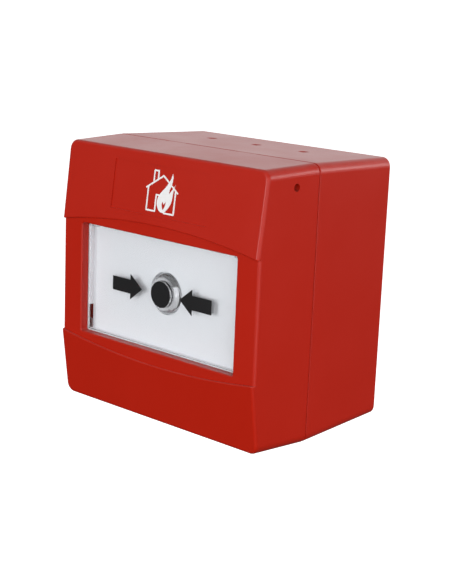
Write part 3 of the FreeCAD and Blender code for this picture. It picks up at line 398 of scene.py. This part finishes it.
def clear_acrylic():
    """Clear plastic with polished faces and matt edges, that lets shadow light through."""
    material, tree, shader = surface("clear_acrylic")
    out = tree.nodes["Material Output"]
    texture = place_group(tree, mould_texture, colour=(0.98, 0.99, 1.0, 1.0), roughness=0.03,
                          tone_drift=0.005, gloss_drift=0.02, grain_per_metre=220.0)
    facing = add(tree, "ShaderNodeNewGeometry")
    towards = maths(tree, axes(tree, facing.outputs["Normal"])["Y"], "ABSOLUTE", 0.0)
    flat = maths(tree, towards, "GREATER_THAN", face_limit)
    sawn = maths(tree, 1.0, "SUBTRACT", flat)
    edge = maths(tree, sawn, "MULTIPLY", cut_edge_roughness)
    rough = maths(tree, texture.outputs["Roughness"], "ADD", edge)
    tree.links.new(texture.outputs["Colour"], shader.inputs["Base Color"])
    tree.links.new(rough, shader.inputs["Roughness"])
    shader.inputs["Transmission Weight"].default_value = 1.0
    shader.inputs["IOR"].default_value = 1.49
    open_air = add(tree, "ShaderNodeBsdfTransparent")
    open_air.inputs["Color"].default_value = (0.96, 0.97, 0.98, 1.0)
    path = add(tree, "ShaderNodeLightPath")
    spared = maths(tree, path.outputs["Is Shadow Ray"], "MAXIMUM", path.outputs["Is Diffuse Ray"])
    blend = add(tree, "ShaderNodeMixShader")
    tree.links.new(spared, blend.inputs[0])
    tree.links.new(shader.outputs[0], blend.inputs[1])
    tree.links.new(open_air.outputs[0], blend.inputs[2])
    tree.links.new(blend.outputs[0], out.inputs["Surface"])
    return material


finish_node("clear_pane", clear_acrylic())


# ---------------------------------------------------------------- Printed arrows and dot
# Black ink: two arrows on the front of the pane, and a disc on the head of the plunger.
# Both are printed films and go in with the pane.

black_ink = moulded("black_ink", (0.010, 0.010, 0.011), roughness=0.36, tone=0.10,
                    grain=4000.0, depth=0.000004)
finish_node("press_arrows", black_ink)
finish_node("centre_dot", black_ink)


# ---------------------------------------------------------------- Plunger and its ring
# Turned and plated brass: the plunger's head shows round the dot, the coned ring behind it.
# Both are fixed to the pane and go in with it.

rings_per_metre = 6000.0
ring_depth = 0.000003
gloss_streaks = 0.16
tone_streaks = 0.10


def from_axis(tree, across, upwards):
    """How far a point is from an axis, from its two offsets."""
    across = maths(tree, across, "MULTIPLY", across)
    upwards = maths(tree, upwards, "MULTIPLY", upwards)
    return maths(tree, maths(tree, across, "ADD", upwards), "POWER", 0.5)


def lathe_marks():
    """Fine rings that a lathe leaves about the axis that runs into the wall."""
    tree = bpy.data.node_groups.new("lathe_marks", "ShaderNodeTree")
    ask(tree, "Colour", "NodeSocketColor")
    ask(tree, "Roughness", "NodeSocketFloat", 0.15)
    ask(tree, "Rings per Metre", "NodeSocketFloat", rings_per_metre)
    ask(tree, "Centre", "NodeSocketVector")
    give(tree, "Colour", "NodeSocketColor")
    give(tree, "Roughness", "NodeSocketFloat")
    give(tree, "Height", "NodeSocketFloat")
    given = add(tree, "NodeGroupInput")
    out = add(tree, "NodeGroupOutput")
    place = add(tree, "ShaderNodeTexCoord")
    centred = add(tree, "ShaderNodeVectorMath", operation="SUBTRACT")
    tree.links.new(place.outputs["Object"], centred.inputs[0])
    tree.links.new(given.outputs["Centre"], centred.inputs[1])
    offset = axes(tree, centred.outputs[0])
    radius = from_axis(tree, offset["X"], offset["Z"])
    rings = add(tree, "ShaderNodeTexNoise", noise_dimensions="1D")
    rings.inputs["Detail"].default_value = 3.0
    tree.links.new(radius, rings.inputs["W"])
    tree.links.new(given.outputs["Rings per Metre"], rings.inputs["Scale"])
    middle = maths(tree, rings.outputs["Fac"], "SUBTRACT", 0.5)
    streaks = maths(tree, middle, "MULTIPLY", gloss_streaks)
    rough = maths(tree, given.outputs["Roughness"], "ADD", streaks)
    level = maths(tree, maths(tree, middle, "MULTIPLY", tone_streaks), "ADD", 1.0)
    scaled = add(tree, "ShaderNodeVectorMath", operation="SCALE")
    tree.links.new(given.outputs["Colour"], scaled.inputs[0])
    tree.links.new(level, scaled.inputs["Scale"])
    tree.links.new(scaled.outputs[0], out.inputs["Colour"])
    tree.links.new(rough, out.inputs["Roughness"])
    tree.links.new(rings.outputs["Fac"], out.inputs["Height"])
    return tree


turning = lathe_marks()


def plated(tree, shader, pattern, depth):
    """A bare metal that shows a pattern's colour, roughness and relief."""
    tree.links.new(pattern.outputs["Colour"], shader.inputs["Base Color"])
    tree.links.new(pattern.outputs["Roughness"], shader.inputs["Roughness"])
    shader.inputs["Metallic"].default_value = 1.0
    rough_skin(tree, shader, pattern.outputs["Height"], depth)


def turned_metal(name, colour, roughness, centre):
    """Metal turned on a lathe about a line that runs into the wall through centre."""
    material, tree, shader = surface(name)
    marks = place_group(tree, turning, colour=(*colour, 1.0), roughness=roughness,
                        rings_per_metre=rings_per_metre)
    marks.inputs["Centre"].default_value = centre
    plated(tree, shader, marks, ring_depth)
    return material


ring_low, ring_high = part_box("bezel_ring")
press_centre = (ring_low + ring_high) / 2
bright_plate = turned_metal("bright_plated_brass", (0.30, 0.30, 0.31), roughness=0.13,
                            centre=press_centre)
finish_node("bezel_ring", bright_plate)
# The plunger takes the same plated brass in a darker grey. The darkness is painted shade, not a
# darker plating.
plate_with_painted_shade = turned_metal("plated_brass_painted_shade", (0.17, 0.17, 0.18), roughness=0.16,
                          centre=press_centre)
finish_node("plunger", plate_with_painted_shade)


# ---------------------------------------------------------------- Return spring
# Wave washer of spring steel under the ring: three crests bent into one flat band. It lies
# loose in the tray. The real washer flattens when the pane goes in; this mesh keeps its crests.

def rolled_metal(name, colour, roughness, grain=900.0, depth=0.000003):
    """Sheet, wire or plated metal with a faint uneven tone."""
    material, tree, shader = surface(name)
    texture = place_group(tree, mould_texture, colour=(*colour, 1.0), roughness=roughness,
                          tone_drift=0.06, gloss_drift=0.08, grain_per_metre=grain)
    plated(tree, shader, texture, depth)
    return material


spring_steel = rolled_metal("spring_steel", (0.55, 0.55, 0.57), roughness=0.28)


def stands_for(piece, node):
    """The finished piece takes its CAD node's place and moves with its body."""
    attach(piece, cad[node]["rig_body"])
    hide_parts(node)


def wave_washer_tree():
    """A flat band bent round a circle, with crests that rise and fall along its axis."""
    tree, given, out = geometry_tree("wave_washer")
    for name in ("Radius", "Band", "Thickness", "Rise"):
        ask(tree, name, "NodeSocketFloat", 0.001)
    ask(tree, "Crests", "NodeSocketInt", 3)
    circle = add(tree, "GeometryNodeCurvePrimitiveCircle")
    circle.inputs["Resolution"].default_value = 120
    tree.links.new(given.outputs["Radius"], circle.inputs["Radius"])
    along = add(tree, "GeometryNodeSplineParameter")
    turns = maths(tree, along.outputs["Factor"], "MULTIPLY", 2.0 * math.pi)
    wave = maths(tree, maths(tree, turns, "MULTIPLY", given.outputs["Crests"]), "SINE", 0.0)
    height = maths(tree, wave, "MULTIPLY", given.outputs["Rise"])
    lift = add(tree, "ShaderNodeCombineXYZ")
    tree.links.new(height, lift.inputs["Z"])
    bent = add(tree, "GeometryNodeSetPosition")
    tree.links.new(circle.outputs[0], bent.inputs["Geometry"])
    tree.links.new(lift.outputs[0], bent.inputs["Offset"])
    band = flat_band(tree, bent.outputs[0], given.outputs["Band"], given.outputs["Thickness"])
    set_on_seats(tree, given, out, band, (quarter_turn, 0.0, 0.0))
    return tree


low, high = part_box("return_spring")
washer_band = 1.3 * mm
washer_thickness = 0.25 * mm
washer = made_by(wave_washer_tree(), "wave_washer", [(low + high) / 2], spring_steel,
                 radius=(high.z - low.z - washer_band) / 2, band=washer_band,
                 thickness=washer_thickness, rise=(high.y - low.y - washer_thickness) / 2)
stands_for(washer, "return_spring")
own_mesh(washer)


# ---------------------------------------------------------------- Status flag
# Thin yellow moulding behind the pane. It hangs above the window's edge and drops into
# sight when the pane is pressed.

yellow_plastic = moulded("yellow_moulding", (0.80, 0.52, 0.03), roughness=0.42,
                         grain=3400.0, depth=0.000005)
finish_node("status_flag", yellow_plastic)


# ---------------------------------------------------------------- Chassis
# Grey frame moulding inside the box that carries the board, the tray, the lock and the test
# slider. Two screws hold it in the box.

frame_plastic = moulded("frame_moulding", (0.52, 0.53, 0.54), roughness=0.48,
                        grain=2800.0, depth=0.000008)
finish_node("chassis", frame_plastic)


# ---------------------------------------------------------------- Screws
# Zinc-plated self-tapping screws: pan heads with a cross recess and a coarse thread.
# Two hold the chassis, four the board and, from behind, four the tray; two more the earth block.

# shares of the head's height, and how flat its crown is
head_wall, crown_rise, crown_power = 0.6, 0.4, 2.5
# shares of the head's width, twice, and of its height
recess_long, recess_wide, recess_tall = 0.56, 0.12, 1.2
# shares of the shank's length and, twice, of its width
thread_reach, thread_depth, thread_pitch = 0.94, 0.16, 0.42


def moved_up(tree, mesh, height):
    """The mesh moved along Z by a height, which is a socket."""
    by = add(tree, "ShaderNodeCombineXYZ")
    tree.links.new(height, by.inputs["Z"])
    moved = add(tree, "GeometryNodeTransform")
    tree.links.new(mesh, moved.inputs["Geometry"])
    tree.links.new(by.outputs[0], moved.inputs["Translation"])
    return moved.outputs[0]


def joined(tree, meshes):
    """Several meshes as one."""
    whole = add(tree, "GeometryNodeJoinGeometry")
    for mesh in meshes:
        tree.links.new(mesh, whole.inputs[0])
    return whole.outputs[0]


def screw_tree():
    """Pan head, cross recess, shank and helical thread, head upwards, for every seat."""
    tree, given, out = geometry_tree("pan_head_screw")
    for name in ("Head Diameter", "Head Height", "Shank Diameter", "Length", "Thread Depth"):
        ask(tree, name, "NodeSocketFloat", 0.001)
    ask(tree, "Thread Turns", "NodeSocketFloat", 8.0)
    ask(tree, "Facing", "NodeSocketFloat", 1.0)
    wide, tall, long = (given.outputs[name] for name in ("Head Diameter", "Head Height", "Length"))
    ridge = given.outputs["Thread Depth"]

    head = add(tree, "GeometryNodeMeshCylinder")
    head.inputs["Vertices"].default_value = 40
    head.inputs["Fill Segments"].default_value = 6
    tree.links.new(maths(tree, wide, "MULTIPLY", 0.5), head.inputs["Radius"])
    tree.links.new(maths(tree, tall, "MULTIPLY", head_wall), head.inputs["Depth"])
    point = axes(tree, add(tree, "GeometryNodeInputPosition").outputs[0])
    reach = from_axis(tree, point["X"], point["Y"])
    share = maths(tree, maths(tree, reach, "DIVIDE", wide), "MULTIPLY", 2.0)
    crown = maths(tree, 1.0, "SUBTRACT", maths(tree, share, "POWER", crown_power))
    crown = maths(tree, maths(tree, crown, "MULTIPLY", tall), "MULTIPLY", crown_rise)
    crown = maths(tree, crown, "MULTIPLY", maths(tree, point["Z"], "GREATER_THAN", 0.0))
    lift = add(tree, "ShaderNodeCombineXYZ")
    half_wall = maths(tree, tall, "MULTIPLY", head_wall / 2)
    tree.links.new(maths(tree, half_wall, "ADD", crown), lift.inputs["Z"])
    domed = add(tree, "GeometryNodeSetPosition")
    tree.links.new(head.outputs["Mesh"], domed.inputs["Geometry"])
    tree.links.new(lift.outputs[0], domed.inputs["Offset"])

    blades = []
    for long_side, short_side in (("X", "Y"), ("Y", "X")):
        size = add(tree, "ShaderNodeCombineXYZ")
        tree.links.new(maths(tree, wide, "MULTIPLY", recess_long), size.inputs[long_side])
        tree.links.new(maths(tree, wide, "MULTIPLY", recess_wide), size.inputs[short_side])
        tree.links.new(maths(tree, tall, "MULTIPLY", recess_tall), size.inputs["Z"])
        blade = add(tree, "GeometryNodeMeshCube")
        tree.links.new(size.outputs[0], blade.inputs["Size"])
        blades.append(moved_up(tree, blade.outputs["Mesh"], tall))
    recess = add(tree, "GeometryNodeMeshBoolean", operation="DIFFERENCE")
    tree.links.new(domed.outputs[0], recess.inputs["Mesh 1"])
    tree.links.new(joined(tree, blades), recess.inputs["Mesh 2"])

    core = maths(tree, given.outputs["Shank Diameter"], "SUBTRACT", ridge)
    core_radius = maths(tree, core, "MULTIPLY", 0.5)
    shank = add(tree, "GeometryNodeMeshCylinder")
    shank.inputs["Vertices"].default_value = 24
    tree.links.new(core_radius, shank.inputs["Radius"])
    tree.links.new(long, shank.inputs["Depth"])
    hung = moved_up(tree, shank.outputs["Mesh"], maths(tree, long, "MULTIPLY", -0.5))

    helix = add(tree, "GeometryNodeCurveSpiral")
    helix.inputs["Resolution"].default_value = 20
    tree.links.new(core_radius, helix.inputs["Start Radius"])
    tree.links.new(core_radius, helix.inputs["End Radius"])
    tree.links.new(given.outputs["Thread Turns"], helix.inputs["Rotations"])
    tree.links.new(maths(tree, long, "MULTIPLY", -thread_reach), helix.inputs["Height"])
    edge = add(tree, "GeometryNodeCurvePrimitiveCircle")
    edge.inputs["Resolution"].default_value = 4
    tree.links.new(maths(tree, ridge, "MULTIPLY", 0.5), edge.inputs["Radius"])
    thread = drawn_along(tree, helix.outputs[0], edge.outputs[0], capped=True)

    turned = add(tree, "GeometryNodeTransform")
    tilt = add(tree, "ShaderNodeCombineXYZ")
    tree.links.new(maths(tree, given.outputs["Facing"], "MULTIPLY", quarter_turn), tilt.inputs["X"])
    tree.links.new(joined(tree, (recess.outputs["Mesh"], hung, thread)), turned.inputs["Geometry"])
    tree.links.new(tilt.outputs[0], turned.inputs["Rotation"])
    set_on_seats(tree, given, out, turned.outputs[0], (0.0, 0.0, 0.0))
    return tree


zinc = rolled_metal("zinc_plate", (0.62, 0.62, 0.60), roughness=0.30)
pan_screw = screw_tree()


def screws(name, node, head_diameter, head_height, shank_diameter, towards_wall=True):
    """Screws in the corners of the CAD node's box; a box of one row gives two."""
    low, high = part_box(node)
    head_y = low.y + head_height if towards_wall else high.y - head_height
    columns = (low.x + head_diameter / 2, high.x - head_diameter / 2)
    rows = {low.z + head_diameter / 2, high.z - head_diameter / 2}
    rows = sorted(rows) if high.z - low.z > 1.5 * head_diameter else [(low.z + high.z) / 2]
    length = high.y - low.y - head_height
    piece = made_by(pan_screw, name, [(x, head_y, z) for x in columns for z in rows], zinc,
                    head_diameter=head_diameter, head_height=head_height,
                    shank_diameter=shank_diameter, length=length,
                    thread_depth=thread_depth * shank_diameter,
                    thread_turns=length / (thread_pitch * shank_diameter),
                    facing=1.0 if towards_wall else -1.0)
    stands_for(piece, node)


screws("chassis_screw_pair", "chassis_screws", 5.6 * mm, 2.0 * mm, 3.0 * mm)
screws("board_screw_set", "board_screws", 4.2 * mm, 1.4 * mm, 2.2 * mm)
screws("tray_screw_set", "tray_screws", 4.2 * mm, 1.4 * mm, 2.2 * mm, towards_wall=False)
finish_node("earth_terminal_screws", zinc)


# ---------------------------------------------------------------- Terminal block
# Green moulding on the back of the chassis with five brass cage clamps, each with a plated
# screw. The brass earth block with its two screws stands apart, in the box.

green_plastic = moulded("terminal_moulding", (0.03, 0.22, 0.07), roughness=0.42, grain=3000.0)
finish_node("terminal_block", green_plastic)
brass = rolled_metal("brass", (0.78, 0.57, 0.25), roughness=0.26)
finish_node("terminal_clamps", brass)
finish_node("terminal_screws", zinc)
finish_node("earth_terminal", brass)


# ---------------------------------------------------------------- Circuit board
# Glass-epoxy board with copper tracks that show paler under a green mask. It lies on four
# pillars of the chassis, held by four screws.

track_width = 0.38    # share of the step from track to track
copper_height = 0.00003


def board_tracks():
    """Where copper runs: narrow straight tracks in both directions, broken in blocks."""
    tree = bpy.data.node_groups.new("board_tracks", "ShaderNodeTree")
    ask(tree, "Tracks per Metre", "NodeSocketFloat", 420.0)
    ask(tree, "Share", "NodeSocketFloat", 0.5)
    give(tree, "Copper", "NodeSocketFloat")
    given = add(tree, "NodeGroupInput")
    out = add(tree, "NodeGroupOutput")
    place = add(tree, "ShaderNodeTexCoord")
    point = axes(tree, place.outputs["Object"])
    blocks = add(tree, "ShaderNodeTexVoronoi", distance="CHEBYCHEV")
    blocks.inputs["Scale"].default_value = 130.0
    tree.links.new(place.outputs["Object"], blocks.inputs["Vector"])
    choice = add(tree, "ShaderNodeSeparateColor")
    tree.links.new(blocks.outputs["Color"], choice.inputs[0])
    runs = []
    for axis, picked in (("X", choice.outputs["Red"]), ("Z", choice.outputs["Green"])):
        step = maths(tree, point[axis], "MULTIPLY", given.outputs["Tracks per Metre"])
        narrow = maths(tree, maths(tree, step, "FRACT", 0.0), "LESS_THAN", track_width)
        chosen = maths(tree, picked, "LESS_THAN", given.outputs["Share"])
        runs.append(maths(tree, narrow, "MULTIPLY", chosen))
    tree.links.new(maths(tree, runs[0], "MAXIMUM", runs[1]), out.inputs["Copper"])
    return tree


def solder_mask(name):
    """Green lacquer, paler and a little raised where copper runs under it."""
    material, tree, shader = surface(name)
    tracks = place_group(tree, board_tracks(), share=0.45)
    texture = place_group(tree, mould_texture, colour=(0.010, 0.095, 0.035, 1.0), roughness=0.30,
                          tone_drift=0.08, gloss_drift=0.05, grain_per_metre=1500.0)
    mixed = add(tree, "ShaderNodeMix", data_type="RGBA")
    mixed.inputs["B"].default_value = (0.035, 0.21, 0.075, 1.0)
    tree.links.new(tracks.outputs["Copper"], mixed.inputs["Factor"])
    tree.links.new(texture.outputs["Colour"], mixed.inputs["A"])
    tree.links.new(mixed.outputs["Result"], shader.inputs["Base Color"])
    tree.links.new(texture.outputs["Roughness"], shader.inputs["Roughness"])
    rough_skin(tree, shader, tracks.outputs["Copper"], copper_height)
    return material


finish_node("circuit_board", solder_mask("board_mask"))


# ---------------------------------------------------------------- Soldered pins
# Tin-plated pins through the board, each in a small cone of solder on the board's back:
# three of the snap switch and five of the terminal block.

waist_depth = 1.2     # how far the cone is drawn in half way up
solder_width, solder_rise = 2.1, 1.1      # shares of the pin's width


def soldered_pin_tree():
    """Round pin through the board, towards the wall, with its solder cone, for every seat."""
    tree, given, out = geometry_tree("soldered_pin")
    for name in ("Pin Diameter", "Front Length", "Back Length", "Solder Diameter", "Solder Height"):
        ask(tree, name, "NodeSocketFloat", 0.001)
    front, back = given.outputs["Front Length"], given.outputs["Back Length"]
    radius = maths(tree, given.outputs["Pin Diameter"], "MULTIPLY", 0.5)
    pin = add(tree, "GeometryNodeMeshCylinder")
    pin.inputs["Vertices"].default_value = 24
    tree.links.new(radius, pin.inputs["Radius"])
    tree.links.new(maths(tree, front, "ADD", back), pin.inputs["Depth"])
    middle = maths(tree, maths(tree, back, "SUBTRACT", front), "MULTIPLY", 0.5)
    moved = moved_up(tree, pin.outputs["Mesh"], middle)
    foot = maths(tree, given.outputs["Solder Diameter"], "MULTIPLY", 0.5)
    cone = add(tree, "GeometryNodeMeshCone")
    cone.inputs["Vertices"].default_value = 32
    cone.inputs["Side Segments"].default_value = 8
    tree.links.new(foot, cone.inputs["Radius Bottom"])
    tree.links.new(radius, cone.inputs["Radius Top"])
    tree.links.new(given.outputs["Solder Height"], cone.inputs["Depth"])
    point = axes(tree, add(tree, "GeometryNodeInputPosition").outputs[0])
    share = maths(tree, point["Z"], "DIVIDE", given.outputs["Solder Height"])
    fall = maths(tree, share, "SUBTRACT", 1.0)
    waist = maths(tree, fall, "MULTIPLY", maths(tree, share, "MULTIPLY", waist_depth))
    drawn_in = maths(tree, 1.0, "ADD", waist)
    scaled = add(tree, "ShaderNodeCombineXYZ")
    tree.links.new(maths(tree, point["X"], "MULTIPLY", drawn_in), scaled.inputs["X"])
    tree.links.new(maths(tree, point["Y"], "MULTIPLY", drawn_in), scaled.inputs["Y"])
    tree.links.new(point["Z"], scaled.inputs["Z"])
    fillet = add(tree, "GeometryNodeSetPosition")
    tree.links.new(cone.outputs["Mesh"], fillet.inputs["Geometry"])
    tree.links.new(scaled.outputs[0], fillet.inputs["Position"])
    whole = joined(tree, (moved, fillet.outputs[0]))
    set_on_seats(tree, given, out, whole, (-quarter_turn, 0.0, 0.0))
    return tree


tin = rolled_metal("tin_plate", (0.70, 0.70, 0.70), roughness=0.30)
soldered_pin = soldered_pin_tree()


def pin_row(name, node, count, pin_diameter):
    """Pins along the CAD node's box, seated on the back of the board."""
    low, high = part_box(node)
    board_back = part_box("circuit_board")[1].y
    first, last = low.x + pin_diameter / 2, high.x - pin_diameter / 2
    step = (last - first) / (count - 1)
    seats = [(first + k * step, board_back, (low.z + high.z) / 2) for k in range(count)]
    piece = made_by(soldered_pin, name, seats, tin, pin_diameter=pin_diameter,
                    front_length=board_back - low.y, back_length=high.y - board_back,
                    solder_diameter=solder_width * pin_diameter,
                    solder_height=solder_rise * pin_diameter)
    stands_for(piece, node)


pin_row("switch_pin_row", "microswitch_pins", 3, 0.8 * mm)
pin_row("terminal_pin_row", "terminal_pins", 5, 1.0 * mm)


# ---------------------------------------------------------------- Switches on the board
# Black snap switch with a steel lever, and the long-stroke detector of the test slider.
# Both have moulded bodies and red moulded buttons.

black_plastic = moulded("switch_moulding", (0.022, 0.022, 0.024), roughness=0.42, grain=3600.0)
finish_node("microswitch_body", black_plastic)
finish_node("test_switch_body", black_plastic)
button_red = moulded("button_moulding", (0.45, 0.05, 0.03), roughness=0.4, grain=3600.0)
finish_node("microswitch_button", button_red)
finish_node("test_switch_button", button_red)
finish_node("switch_lever", spring_steel)


# ---------------------------------------------------------------- Alarm resistor
# Axial resistor on the board, in sand-coloured lacquer with four painted bands. Its bare
# tinned leads run up and down from it.

sand, tinned = (0.50, 0.36, 0.20, 1.0), (0.60, 0.60, 0.60, 1.0)
gold_band, red_band = (0.55, 0.33, 0.05, 1.0), (0.30, 0.02, 0.02, 1.0)
blue_band, grey_band = (0.02, 0.03, 0.20, 1.0), (0.12, 0.14, 0.15, 1.0)


def banded_lacquer():
    """Sand-coloured lacquer with four painted bands, and bare tinned leads beyond it."""
    material, tree, shader = surface("resistor_lacquer")
    texture = place_group(tree, mould_texture, colour=sand, roughness=0.35)
    place = add(tree, "ShaderNodeTexCoord")
    low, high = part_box("alarm_resistor")
    height = add(tree, "ShaderNodeMapRange")
    height.inputs["From Min"].default_value = low.z
    height.inputs["From Max"].default_value = high.z
    tree.links.new(axes(tree, place.outputs["Object"])["Z"], height.inputs["Value"])
    bands = add(tree, "ShaderNodeValToRGB")
    bands.color_ramp.interpolation = "CONSTANT"
    stripes = ((0.0, tinned), (0.24, sand), (0.32, gold_band), (0.37, sand), (0.47, red_band),
               (0.52, sand), (0.56, blue_band), (0.61, sand), (0.66, grey_band), (0.71, sand),
               (0.76, tinned))
    stops = bands.color_ramp.elements
    stops[0].position, stops[0].color = stripes[0]
    stops[1].position, stops[1].color = stripes[-1]
    for position, colour in stripes[1:-1]:
        stops.new(position).color = colour
    tree.links.new(height.outputs[0], bands.inputs["Fac"])
    painted = add(tree, "ShaderNodeMix", data_type="RGBA", blend_type="MULTIPLY")
    painted.inputs["Factor"].default_value = 0.5
    tree.links.new(bands.outputs["Color"], painted.inputs["A"])
    tree.links.new(texture.outputs["Colour"], painted.inputs["B"])
    tree.links.new(painted.outputs["Result"], shader.inputs["Base Color"])
    tree.links.new(texture.outputs["Roughness"], shader.inputs["Roughness"])
    return material


finish_node("alarm_resistor", banded_lacquer())


# ---------------------------------------------------------------- Test slider
# White moulded rod behind the hole in the right side. A coil of round spring wire on it
# sends it back after a test.

def coil_tree():
    """Helical wire with closed ends, its axis along X, for every seat at its first end."""
    tree, given, out = geometry_tree("coil_spring")
    for name in ("Radius", "Wire", "Length"):
        ask(tree, name, "NodeSocketFloat", 0.001)
    ask(tree, "Coils", "NodeSocketFloat", 4.0)
    helix = add(tree, "GeometryNodeCurveSpiral")
    helix.inputs["Resolution"].default_value = 40
    tree.links.new(given.outputs["Coils"], helix.inputs["Rotations"])
    tree.links.new(given.outputs["Radius"], helix.inputs["Start Radius"])
    tree.links.new(given.outputs["Radius"], helix.inputs["End Radius"])
    tree.links.new(given.outputs["Length"], helix.inputs["Height"])
    section = add(tree, "GeometryNodeCurvePrimitiveCircle")
    section.inputs["Resolution"].default_value = 14
    tree.links.new(maths(tree, given.outputs["Wire"], "MULTIPLY", 0.5), section.inputs["Radius"])
    wire = drawn_along(tree, helix.outputs[0], section.outputs[0], capped=True)
    smooth = add(tree, "GeometryNodeSetShadeSmooth")
    tree.links.new(wire, smooth.inputs[0])
    set_on_seats(tree, given, out, smooth.outputs[0], (0.0, quarter_turn, 0.0))
    return tree


slider_white = moulded("slider_moulding", (0.70, 0.70, 0.68), roughness=0.38, grain=3000.0)
finish_node("test_slider", slider_white)

low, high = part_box("test_spring")
rod_low, rod_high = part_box("test_slider")
rod_y, rod_z = (rod_low.y + rod_high.y) / 2, (rod_low.z + rod_high.z) / 2
spring_wire = 0.4 * mm
coil_radius = 2.0 * mm
coil_turns = 4.0
coil = made_by(coil_tree(), "slider_coil", [(low.x + spring_wire / 2, rod_y, rod_z)], spring_steel,
               radius=coil_radius, wire=spring_wire, length=high.x - low.x - spring_wire,
               coils=coil_turns)
stands_for(coil, "test_spring")
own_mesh(coil)


# ---------------------------------------------------------------- Lock cam
# Die-cast zinc cam, borne by the chassis, that the key turns from below. A quarter turn
# locks the cover.

cast_zinc = rolled_metal("cast_zinc", (0.50, 0.50, 0.50), roughness=0.42,
                         grain=1500.0, depth=0.00001)
finish_node("lock_cam", cast_zinc)


# ---------------------------------------------------------------- Studio
# Pale floor below the object, a soft room of light with four lamps, and the camera at
# its viewing angle. None of it belongs to the object.

low, high = cad_box
centre = (low + high) / 2

floor_drop = 0.16
floor_mesh = bpy.data.meshes.new("pale_floor")
reach = 4.0
floor_z = low.z - floor_drop
floor_mesh.from_pydata([(-reach, -reach, floor_z), (reach, -reach, floor_z),
                        (reach, reach, floor_z), (-reach, reach, floor_z)], [], [(0, 1, 2, 3)])
floor = bpy.data.objects.new("pale_floor", floor_mesh)
scene.collection.objects.link(floor)
paint, _, shader = surface("pale_floor")
shader.inputs["Base Color"].default_value = (0.9, 0.9, 0.9, 1.0)
shader.inputs["Roughness"].default_value = 0.9
shader.inputs["Emission Color"].default_value = (1.0, 1.0, 1.0, 1.0)
shader.inputs["Emission Strength"].default_value = 0.85
floor_mesh.materials.append(paint)
floor.visible_glossy = False
floor.visible_diffuse = False

world = bpy.data.worlds.new("soft_room")
scene.world = world
world.use_nodes = True
sky = world.node_tree
sky.nodes.clear()
sky_out = add(sky, "ShaderNodeOutputWorld")
room = add(sky, "ShaderNodeBackground")
seen = add(sky, "ShaderNodeBackground")
seen.inputs["Color"].default_value = (1.0, 1.0, 1.0, 1.0)
seen.inputs["Strength"].default_value = 1.1
path = add(sky, "ShaderNodeLightPath")
either = add(sky, "ShaderNodeMixShader")
where = add(sky, "ShaderNodeTexCoord")
looked_at = axes(sky, where.outputs["Generated"])
raised = maths(sky, maths(sky, looked_at["Z"], "MULTIPLY", 0.5), "ADD", 0.5)


def grey_by_height(steps):
    """Grey by the height looked at, 0 straight down and 1 straight up. A ramp has two stops
    to begin with, so the steps start with the lowest and the highest."""
    ramp = add(sky, "ShaderNodeValToRGB")
    stops = ramp.color_ramp.elements
    for place, (position, grey) in enumerate(steps):
        stop = stops[place] if place < 2 else stops.new(position)
        stop.position = position
        stop.color = (grey, grey, grey, 1.0)
    sky.links.new(raised, ramp.inputs["Fac"])
    return ramp.outputs["Color"]


front_room = grey_by_height([(0.0, 0.03), (1.0, 0.25), (0.47, 0.06), (0.55, 0.30), (0.75, 0.30)])
back_room = grey_by_height([(0.0, 0.06), (1.0, 0.25), (0.47, 0.12), (0.53, 1.22), (0.68, 1.22),
                            (0.8, 0.35)])
behind = add(sky, "ShaderNodeMapRange")
behind.inputs["From Min"].default_value = -0.05
behind.inputs["From Max"].default_value = 0.45
sky.links.new(looked_at["Y"], behind.inputs["Value"])
halves = add(sky, "ShaderNodeMix", data_type="RGBA")
sky.links.new(behind.outputs[0], halves.inputs["Factor"])
sky.links.new(front_room, halves.inputs["A"])
sky.links.new(back_room, halves.inputs["B"])
sky.links.new(halves.outputs["Result"], room.inputs["Color"])
sky.links.new(path.outputs["Is Camera Ray"], either.inputs[0])
sky.links.new(room.outputs[0], either.inputs[1])
sky.links.new(seen.outputs[0], either.inputs[2])
sky.links.new(either.outputs[0], sky_out.inputs["Surface"])


def soft_box(name, place, width, height, power):
    """Rectangular lamp at place that faces the object."""
    lamp = bpy.data.lights.new(name, "AREA")
    lamp.shape = "RECTANGLE"
    lamp.size, lamp.size_y, lamp.energy = width, height, power
    holder = bpy.data.objects.new(name, lamp)
    scene.collection.objects.link(holder)
    holder.location = place
    holder.rotation_mode = "QUATERNION"
    holder.rotation_quaternion = (Vector(place) - centre).to_track_quat("Z", "Y")


soft_box("front_box", (-0.15, -1.25, 0.15), 0.5, 0.5, 7.0)
soft_box("side_box", (1.25, 0.10, 0.10), 0.6, 0.6, 2.6)
soft_box("wide_box", (0.95, -0.90, 0.12), 1.4, 1.2, 12.0)
soft_box("rim_box", (1.00, 1.20, 0.50), 0.6, 0.4, 6.5)

azimuth, elevation, roll = math.radians(42.469), math.radians(13.162), math.radians(2.317)
distance, shift_right, shift_up = 0.455357, 0.00032, -0.004936
aim = Vector((0.0, -0.030, 0.0))
back = Vector((math.sin(azimuth) * math.cos(elevation), -math.cos(azimuth) * math.cos(elevation),
               math.sin(elevation)))
level_right = Vector((math.cos(azimuth), math.sin(azimuth), 0.0))
level_up = back.cross(level_right)
right = level_right * math.cos(roll) + level_up * math.sin(roll)
up = level_up * math.cos(roll) - level_right * math.sin(roll)
camera = bpy.data.cameras.new("camera")
camera.sensor_width = 36.0
camera.lens = 81.70
camera.clip_start, camera.clip_end = 0.02, 20.0
eye = bpy.data.objects.new("camera", camera)
scene.collection.objects.link(eye)
eye.rotation_mode = "QUATERNION"
eye.rotation_quaternion = Matrix((right, up, back)).transposed().to_quaternion()
eye.location = aim + back * distance + right * shift_right + up * shift_up
scene.camera = eye
scene.view_settings.view_transform = "Standard"
